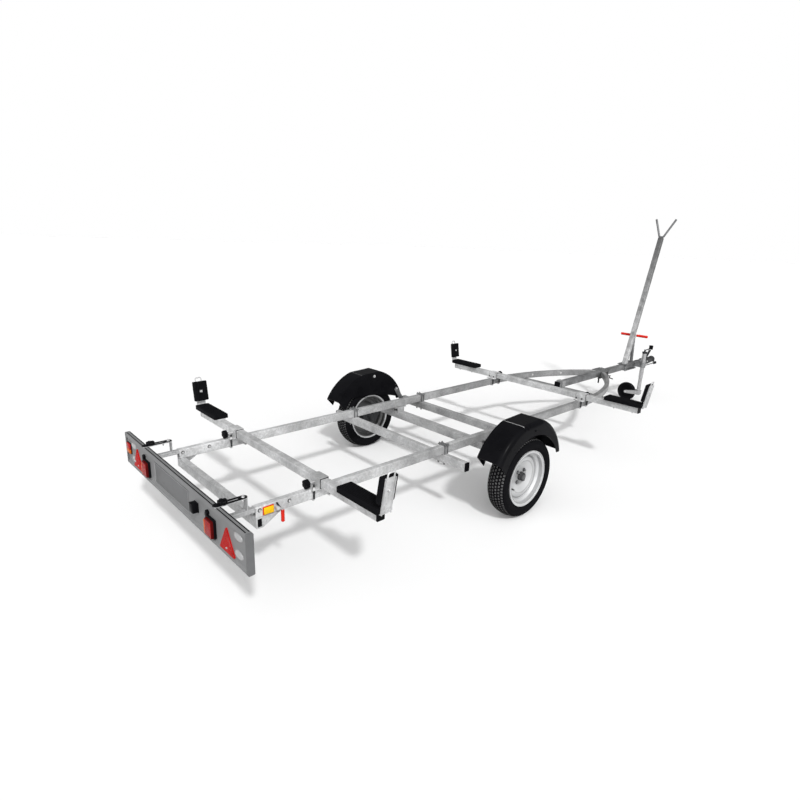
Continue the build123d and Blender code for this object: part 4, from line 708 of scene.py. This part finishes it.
# Handle bar: two moulded red grips with fine ribs, pushed on a steel bar through the post.
# The plastic is slightly soft and dull.
def grip(bm, start, end, radius, ribs):
    """Turn a ribbed sleeve with rounded ends round the line between two points."""
    run = Vector(end) - Vector(start)
    length = run.length
    outline = [(0.0, 0.0), (0.0, radius * 0.80), (length * 0.04, radius)]
    for index in range(ribs):
        middle = length * (0.08 + 0.84 * (index + 0.5) / ribs)
        wide = length * 0.84 / ribs
        outline += [(middle - wide * 0.30, radius), (middle - wide * 0.18, radius * 0.91),
                    (middle + wide * 0.18, radius * 0.91), (middle + wide * 0.30, radius)]
    outline += [(length * 0.96, radius), (length, radius * 0.80), (length, 0.0)]
    lathe(bm, outline, start, run.normalized(), run.orthogonal().normalized(), 24)


GRIP_IN, GRIP_OUT, GRIP_R = 0.030, 0.157, 0.0150
red_grip = surface("red_grip", (0.60, 0.022, 0.012), 0.40, spread=0.08, scale=60.0, bump=0.12,
                   specular=0.10)
bar = middle_of("handle_bar")
bm = bmesh.new()
for hand in HANDS:
    grip(bm, (bar.x, hand * GRIP_IN, bar.z), (bar.x, hand * GRIP_OUT, bar.z), GRIP_R, 9)
piece("handle_grips", bm, [red_grip], "frame")

# Coupling: two bolts through its sleeve hold the cast head on the drawbar.
# Each shows a plated nut and the bolt's end on either side.
COUPLING_BOLTS = (0.030, 0.085)
SLEEVE_T = 0.0050
drawbar_low, drawbar_high = box("drawbar")
drawbar_z = (drawbar_low.z + drawbar_high.z) / 2
bm = bmesh.new()
for back_off in COUPLING_BOLTS:
    for hand in HANDS:
        seat = (drawbar_high.x - back_off, hand * (drawbar_high.y + SLEEVE_T), drawbar_z)
        bolt(bm, seat, (0, hand, 0), 0.0090, 0.008, 0.004)
piece("coupling_bolts", bm, [zinc], "frame")

# Jockey wheel: bright plated tubes and fork, a black knob on the crank, another on the clamp
# rod, and a stud with a nut at each end through the fork as the wheel's axle.
JOCKEY_Y, CLAMP_ROD_Z = -0.095, 0.450
CRANK_KNOB_R, CRANK_KNOB_L = 0.0235, 0.048
ROD_KNOB_R, ROD_KNOB_L = 0.0156, 0.047
plated = surface("plated_tube", (0.40, 0.40, 0.405), 0.26, metal=0.75, spread=0.08, scale=60.0)
coat(plated, "jockey_tube", "jockey_leg", "jockey_fork")
crank_high = box("jockey_crank")[1]
rod_high = box("jockey_clamp")[1]
bm = bmesh.new()
knob_foot = Vector((crank_high.x - 0.014, JOCKEY_Y, crank_high.z - 0.047))
grip(bm, knob_foot, knob_foot + Vector((0, 0, CRANK_KNOB_L)), CRANK_KNOB_R, 4)
rod_end = Vector((rod_high.x + 0.001, JOCKEY_Y, CLAMP_ROD_Z))
grip(bm, rod_end - Vector((ROD_KNOB_L, 0, 0)), rod_end, ROD_KNOB_R, 5)
piece("jockey_knobs", bm, [black], "frame")
fork_low, fork_high = box("jockey_fork")
hub = middle_of("jockey_wheel")
bm = bmesh.new()
for x, way in ((fork_low.x, -1), (fork_high.x, 1)):
    bolt(bm, (x - way * 0.0001, hub.y, hub.z), (way, 0, 0), 0.0090, 0.008, 0.004)
piece("jockey_axle_nuts", bm, [zinc], "jockey_fork")

# Slide levers: bent rods that clamp the board's slide bars in the rails, with red grips on
# their free ends. The right one hangs down from a link, and the left one is turned up behind
# its rail.
LEVER_SETBACK, LEVER_OUT, LEVER_ARM = 0.114, 0.035, 0.028
LEVER_GRIP = (0.020, 0.086)
LEVER_GRIP_R, LINK_R = 0.0096, 0.0042
LEFT_TURN = radians(60)
bm = bmesh.new()
link = bmesh.new()
for hand, turn in ((1, LEFT_TURN), (-1, 0.0)):
    pivot = Vector((RAIL_REAR + LEVER_SETBACK, hand * (RAIL_Y + LEVER_OUT),
                    (RAIL_LOW + RAIL_HIGH) / 2))
    elbow = pivot + Vector((cos(turn), 0, sin(turn))) * LEVER_ARM
    down = Vector((sin(turn), 0, -cos(turn)))
    grip(bm, elbow + down * LEVER_GRIP[0], elbow + down * LEVER_GRIP[1], LEVER_GRIP_R, 7)
    if hand < 0:
        rod(link, pivot + Vector((0, 0.008, 0.026)), elbow + down * 0.024 + Vector((0, 0.006, 0)),
            LINK_R)
piece("lever_grips", bm, [red_grip], "frame")
piece("lever_link", link, [dark_steel], "frame")


# Board hangers: black slotted straps over the hanger plates on the slide bars.
# Each has a star knob at the board and a bolt at either end of its slot.
def slotted_strap(bm, centre, length, width, thick, slot_length, slot_width):
    """Bridge two long rings and give the flat ring a thickness."""
    rings = []
    for long, wide in ((length, width), (slot_length, slot_width)):
        ring = bmesh.ops.create_circle(bm, segments=40, radius=wide / 2,
                                       matrix=Matrix.Rotation(pi / 40, 4, "Z"))["verts"]
        for way in (-1, 1):
            half = [v for v in ring if v.co.x * way > 0]
            bmesh.ops.translate(bm, vec=(way * (long - wide) / 2, 0, 0), verts=half)
        rings += ring
    edges = list({edge for v in rings for edge in v.link_edges})
    faces = bmesh.ops.bridge_loops(bm, edges=edges)["faces"]
    made = bmesh.ops.extrude_face_region(bm, geom=faces)["geom"]
    raised = [part for part in made if isinstance(part, bmesh.types.BMVert)]
    bmesh.ops.translate(bm, vec=(0, 0, thick), verts=raised)
    bmesh.ops.translate(bm, vec=centre, verts=rings + raised)


HANGER_TOP, STRAP_FOOT = 0.5622, 0.5620
STRAP_L, STRAP_W, STRAP_T, SLOT_L, SLOT_W = 0.176, 0.0385, 0.0024, 0.085, 0.012
STRAP_REACH, HANGER_KNOB_REACH = 0.083, 0.045
HANGER_KNOB_R, HANGER_KNOB_T = 0.0243, 0.0182
BLACK_SHARE = 0.012
bar_zinc = dipped("bar_zinc", (0.41, 0.413, 0.416), 0.42, 0.30, 7.0, 95.0, 0.18)
fade(bar_zinc, "Z", HANGER_TOP, HANGER_TOP + 0.0004, BLACK_SHARE)
coat(bar_zinc, "slide_bar")
straps = bmesh.new()
bolts = bmesh.new()
for side, hand in SIDES:
    bar_rear = box(f"slide_bar_{side}")[0].x
    y = hand * RAIL_Y
    slotted_strap(straps, (bar_rear + STRAP_REACH, y, STRAP_FOOT), STRAP_L, STRAP_W, STRAP_T,
                  SLOT_L, SLOT_W)
    star_knob(straps, (bar_rear + HANGER_KNOB_REACH, y, HANGER_TOP), (0, 0, 1), HANGER_KNOB_R,
              HANGER_KNOB_T)
    bolt(bolts, (bar_rear + 0.150, y, 0.5643), (0, 0, 1), 0.0075, 0.007, 0.004)
    bolt(bolts, (bar_rear + 0.118, y, 0.5571), (0, 0, -1), 0.0075, 0.007, 0.010)
piece("hanger_straps", straps, [black], "light_carriage")
piece("hanger_bolts", bolts, [zinc], "light_carriage")

# Light board: one moulding in grey plastic between darker end caps. A black strip along each edge
# of its top ledge is painted shade for the groove there. It has a framed field for the number
# plate and two glossy pressed ovals near each end, whose paler grey is a painted highlight.
GREY, GREY_DARK = (0.195, 0.197, 0.20), (0.140, 0.142, 0.145)
SHADE_STRIP_W, SHADE_STRIP_H = 0.005, 0.0024
FIELD_Y, FIELD_Z, FIELD_W, FIELD_H = 0.076, 0.456, 0.466, 0.116
BEAD, BEAD_T = 0.006, 0.005
OVAL_YS, OVAL_ZS, OVAL_HALVES = (-0.715, 0.675), (0.505, 0.415), (0.010, 0.040, 0.022, 1)
grey = surface("grey_plastic", GREY, 0.45, spread=0.06, scale=14.0, bump=0.06, grain=700.0,
               specular=0.10)
grey_dark = surface("plate_field", GREY_DARK, 0.5, spread=0.06, scale=14.0, bump=0.06,
                    grain=700.0, specular=0.10)
# The ovals' paler grey is a painted highlight, over a real gloss.
oval_highlight_grey = surface("pressed_grey_highlight", (0.31, 0.312, 0.315), 0.22, spread=0.06, scale=14.0, bump=0.02,
                  grain=700.0, specular=0.7)
coat(grey, "light_board")
coat(grey_dark, "board_end_caps")
board_low, board_high = box("light_board")
FACE_X = box("tail_lamps")[1].x
bm = bmesh.new()
# Painted shade: black strips on the ledge stand for the shadow in its groove.
shade_strip_length = board_high.y - board_low.y - 0.020
for x in (board_low.x + 0.007, board_high.x - 0.005):
    slab(bm, (x, 0, board_high.z + 0.0006), (SHADE_STRIP_W, shade_strip_length, SHADE_STRIP_H), 0.0008)
piece("ledge_shade_strips", bm, [black], "light_carriage")

bm = bmesh.new()
slab(bm, (FACE_X - 0.0004, FIELD_Y, FIELD_Z), (0.0016, FIELD_W, FIELD_H), 0.0005)
piece("plate_field", bm, [grey_dark], "light_carriage")

bm = bmesh.new()
for way in (-1, 1):
    bead_y = FIELD_Y + way * (FIELD_W + BEAD * 2) / 2
    bead_z = FIELD_Z + way * (FIELD_H + BEAD) / 2
    slab(bm, (FACE_X - 0.001, FIELD_Y, bead_z), (BEAD_T, FIELD_W + 0.020, BEAD), 0.0015)
    slab(bm, (FACE_X - 0.001, bead_y, FIELD_Z), (BEAD_T, BEAD, FIELD_H), 0.0015)
ovals = len(bm.faces)
for y in OVAL_YS:
    for z in OVAL_ZS:
        dome = Matrix.Translation((FACE_X + 0.001, y, z)) @ Matrix.Diagonal(OVAL_HALVES)
        bmesh.ops.create_uvsphere(bm, u_segments=32, v_segments=16, radius=1, matrix=dome)
bm.faces.ensure_lookup_table()
for face in bm.faces[ovals:]:
    face.material_index = 1
piece("board_pressings", bm, [grey, oval_highlight_grey], "light_carriage", 60)

# Tail lamps: black housings with red ribs on a deep red lens, an orange strip and a cable clip
# above. The left end of the board carries a small corner lamp besides, red over orange.
LAMP_Y, LAMP_Z, CORNER_Y = 0.440, 0.439, 0.754
LAMP_RIBS, RIB_PITCH = 5, 0.014
CLIP_TILT = Matrix.Rotation(radians(28), 4, "X")
red = surface("red_lens", (0.36, 0.011, 0.010), 0.18, spread=0.12, scale=90.0, bump=0.03,
              specular=0.05)
deep_red = surface("deep_red_lens", (0.085, 0.004, 0.004), 0.20, spread=0.12, scale=90.0,
                   bump=0.03, specular=0.04)
orange = surface("orange_lens", (0.50, 0.105, 0.010), 0.18, spread=0.10, scale=90.0, bump=0.03,
                 specular=0.06)
housing = bmesh.new()
lenses = bmesh.new()
ribs = bmesh.new()
strips = bmesh.new()
for hand in HANDS:
    y = hand * LAMP_Y
    slab(housing, (FACE_X - 0.0070, y, LAMP_Z), (0.0140, 0.096, 0.100), 0.004)
    slab(lenses, (FACE_X - 0.0175, y - 0.008, LAMP_Z - 0.001), (0.0200, 0.072, 0.090), 0.004)
    for index in range(LAMP_RIBS):
        rib_y = y - 0.036 + index * RIB_PITCH
        slab(ribs, (FACE_X - 0.0268, rib_y, LAMP_Z - 0.001), (0.0022, 0.0095, 0.080), 0.0008)
    slab(strips, (FACE_X - 0.0165, y + 0.0365, LAMP_Z - 0.008), (0.0180, 0.015, 0.074), 0.003)
    slab(housing, (FACE_X - 0.0080, y + 0.036, LAMP_Z + 0.056), (0.0150, 0.022, 0.034), 0.003,
         CLIP_TILT)
slab(housing, (FACE_X - 0.0030, CORNER_Y, LAMP_Z + 0.030), (0.0060, 0.066, 0.070), 0.002)
slab(ribs, (FACE_X - 0.0085, CORNER_Y, LAMP_Z + 0.044), (0.0110, 0.060, 0.036), 0.003)
slab(strips, (FACE_X - 0.0085, CORNER_Y, LAMP_Z + 0.011), (0.0110, 0.060, 0.026), 0.003)
piece("lamp_housings", housing, [black], "light_carriage", 35, "tail_lamps")
piece("lamp_lenses", lenses, [deep_red], "light_carriage", 35, "tail_lamps")
piece("lamp_ribs", ribs, [red], "light_carriage", 35, "tail_lamps")
piece("lamp_strips", strips, [orange], "light_carriage", 35, "tail_lamps")

# Triangle reflectors: red moulded plates with a flat rim round a field of small pyramids.
# A screw near the foot fixes each to the board.
TRIANGLE_R, TRIANGLE_T, RIM_W, RIM_DEPTH = 0.0866, 0.0080, 0.0062, 0.0022
TRIANGLE_HALF = 0.075
PRISM, PRISM_ROWS, PRISM_H = 0.0108, 9, 0.0022
FIELD_FOOT, FIELD_TIP, HALF_SLOPE = 0.0345, 0.069, 0.5774
low, high = box("triangle_reflectors")
bm = bmesh.new()
screws = bmesh.new()
for hand in HANDS:
    centre = Vector((FACE_X, hand * (high.y - TRIANGLE_HALF), low.z + TRIANGLE_R / 2))
    plate = bmesh.ops.create_circle(bm, cap_ends=True, segments=3, radius=TRIANGLE_R,
                                    matrix=facing(centre, (-1, 0, 0)))["verts"]
    made = bmesh.ops.extrude_face_region(bm, geom=[plate[0].link_faces[0]])["geom"]
    front = next(part for part in made if isinstance(part, bmesh.types.BMFace))
    bmesh.ops.translate(bm, vec=(-TRIANGLE_T, 0, 0), verts=list(front.verts))
    upright = [edge for v in front.verts for edge in v.link_edges
               if edge not in list(front.edges)]
    bmesh.ops.bevel(bm, geom=upright, offset=0.006, segments=2, profile=0.5, affect="EDGES",
                    material=-1)
    near = [face for face in bm.faces if abs((face.calc_center_median() - centre).y) < 0.01]
    front = min(near, key=lambda face: face.calc_center_median().x)
    bmesh.ops.inset_region(bm, faces=[front], thickness=RIM_W, depth=0.0)
    bmesh.ops.translate(bm, vec=(RIM_DEPTH, 0, 0), verts=list(front.verts))
    for row in range(PRISM_ROWS):
        z = centre.z - FIELD_FOOT + 0.0055 + row * PRISM
        half = (centre.z + FIELD_TIP - z) * HALF_SLOPE - 0.006
        count = int(2 * half / PRISM)
        for index in range(count):
            y = centre.y + (index - (count - 1) / 2) * PRISM
            seat = (facing((FACE_X - TRIANGLE_T + 0.0024, y, z), (-1, 0, 0))
                    @ Matrix.Rotation(radians(45), 4, "Z"))
            turned(bm, 0, PRISM_H, PRISM * 0.68, 0.0, seat, 4)
    bolt(screws, (FACE_X - 0.0050, centre.y - hand * 0.004, centre.z - 0.022), (-1, 0, 0),
         0.0055, 0.004)
piece("reflector_triangles", bm, [red], "light_carriage", 20,
      "triangle_reflectors")
piece("reflector_screws", screws, [zinc], "light_carriage")

# Plate lamp: a stepped black housing with a visor, screwed to the board beside the plate field.
# Its ribbed clear window looks down, drawn in bright zinc as a painted highlight for its glint.
low, high = box("plate_lamp")
middle = (low + high) / 2
bm = bmesh.new()
slab(bm, (high.x - 0.004, middle.y, middle.z), (0.008, 0.046, 0.054), 0.003)
slab(bm, (middle.x - 0.002, middle.y, middle.z + 0.001), (0.029, 0.045, 0.053), 0.006)
slab(bm, (low.x + 0.010, middle.y, high.z - 0.003), (0.019, 0.044, 0.005), 0.002)
piece("plate_lamp_housing", bm, [black], "light_carriage", 35, "plate_lamp")
bm = bmesh.new()
slab(bm, (middle.x - 0.004, middle.y, low.z + 0.004), (0.020, 0.030, 0.004), 0.001)
for index in range(4):
    rib_x = middle.x - 0.010 + index * 0.005
    slab(bm, (rib_x, middle.y, low.z + 0.0022), (0.002, 0.028, 0.001), 0.0003)
# Painted highlight: the clear window is drawn in bright zinc for its glint.
piece("plate_lamp_window", bm, [zinc], "light_carriage")

# Side markers: a red frame with a ribbed yellow lens, screwed to the outside of each rail.
# They are plain reflectors with no lamp inside.
MARKER_T = 0.012
FRAME_SIZE, LENS_SIZE = (0.062, 0.007, 0.045), (0.054, 0.0100, 0.037)
MARKER_RIBS, MARKER_PITCH = 6, 0.008
amber = surface("amber_lens", (0.86, 0.52, 0.012), 0.18, spread=0.08, scale=90.0, bump=0.03,
                specular=0.08)
low, high = box("side_markers")
middle = (low + high) / 2
frames = bmesh.new()
lenses = bmesh.new()
for hand in HANDS:
    foot = hand * (high.y - MARKER_T)
    slab(frames, (middle.x, foot + hand * 0.0035, middle.z), FRAME_SIZE, 0.003)
    slab(lenses, (middle.x, foot + hand * 0.0070, middle.z), LENS_SIZE, 0.003)
    for index in range(MARKER_RIBS):
        rib_x = middle.x - 0.020 + index * MARKER_PITCH
        slab(lenses, (rib_x, foot + hand * 0.0117, middle.z), (0.005, 0.0012, 0.032), 0.0004)
piece("marker_frames", frames, [red_grip], "frame", 35, "side_markers")
piece("marker_lenses", lenses, [amber], "frame", 35, "side_markers")
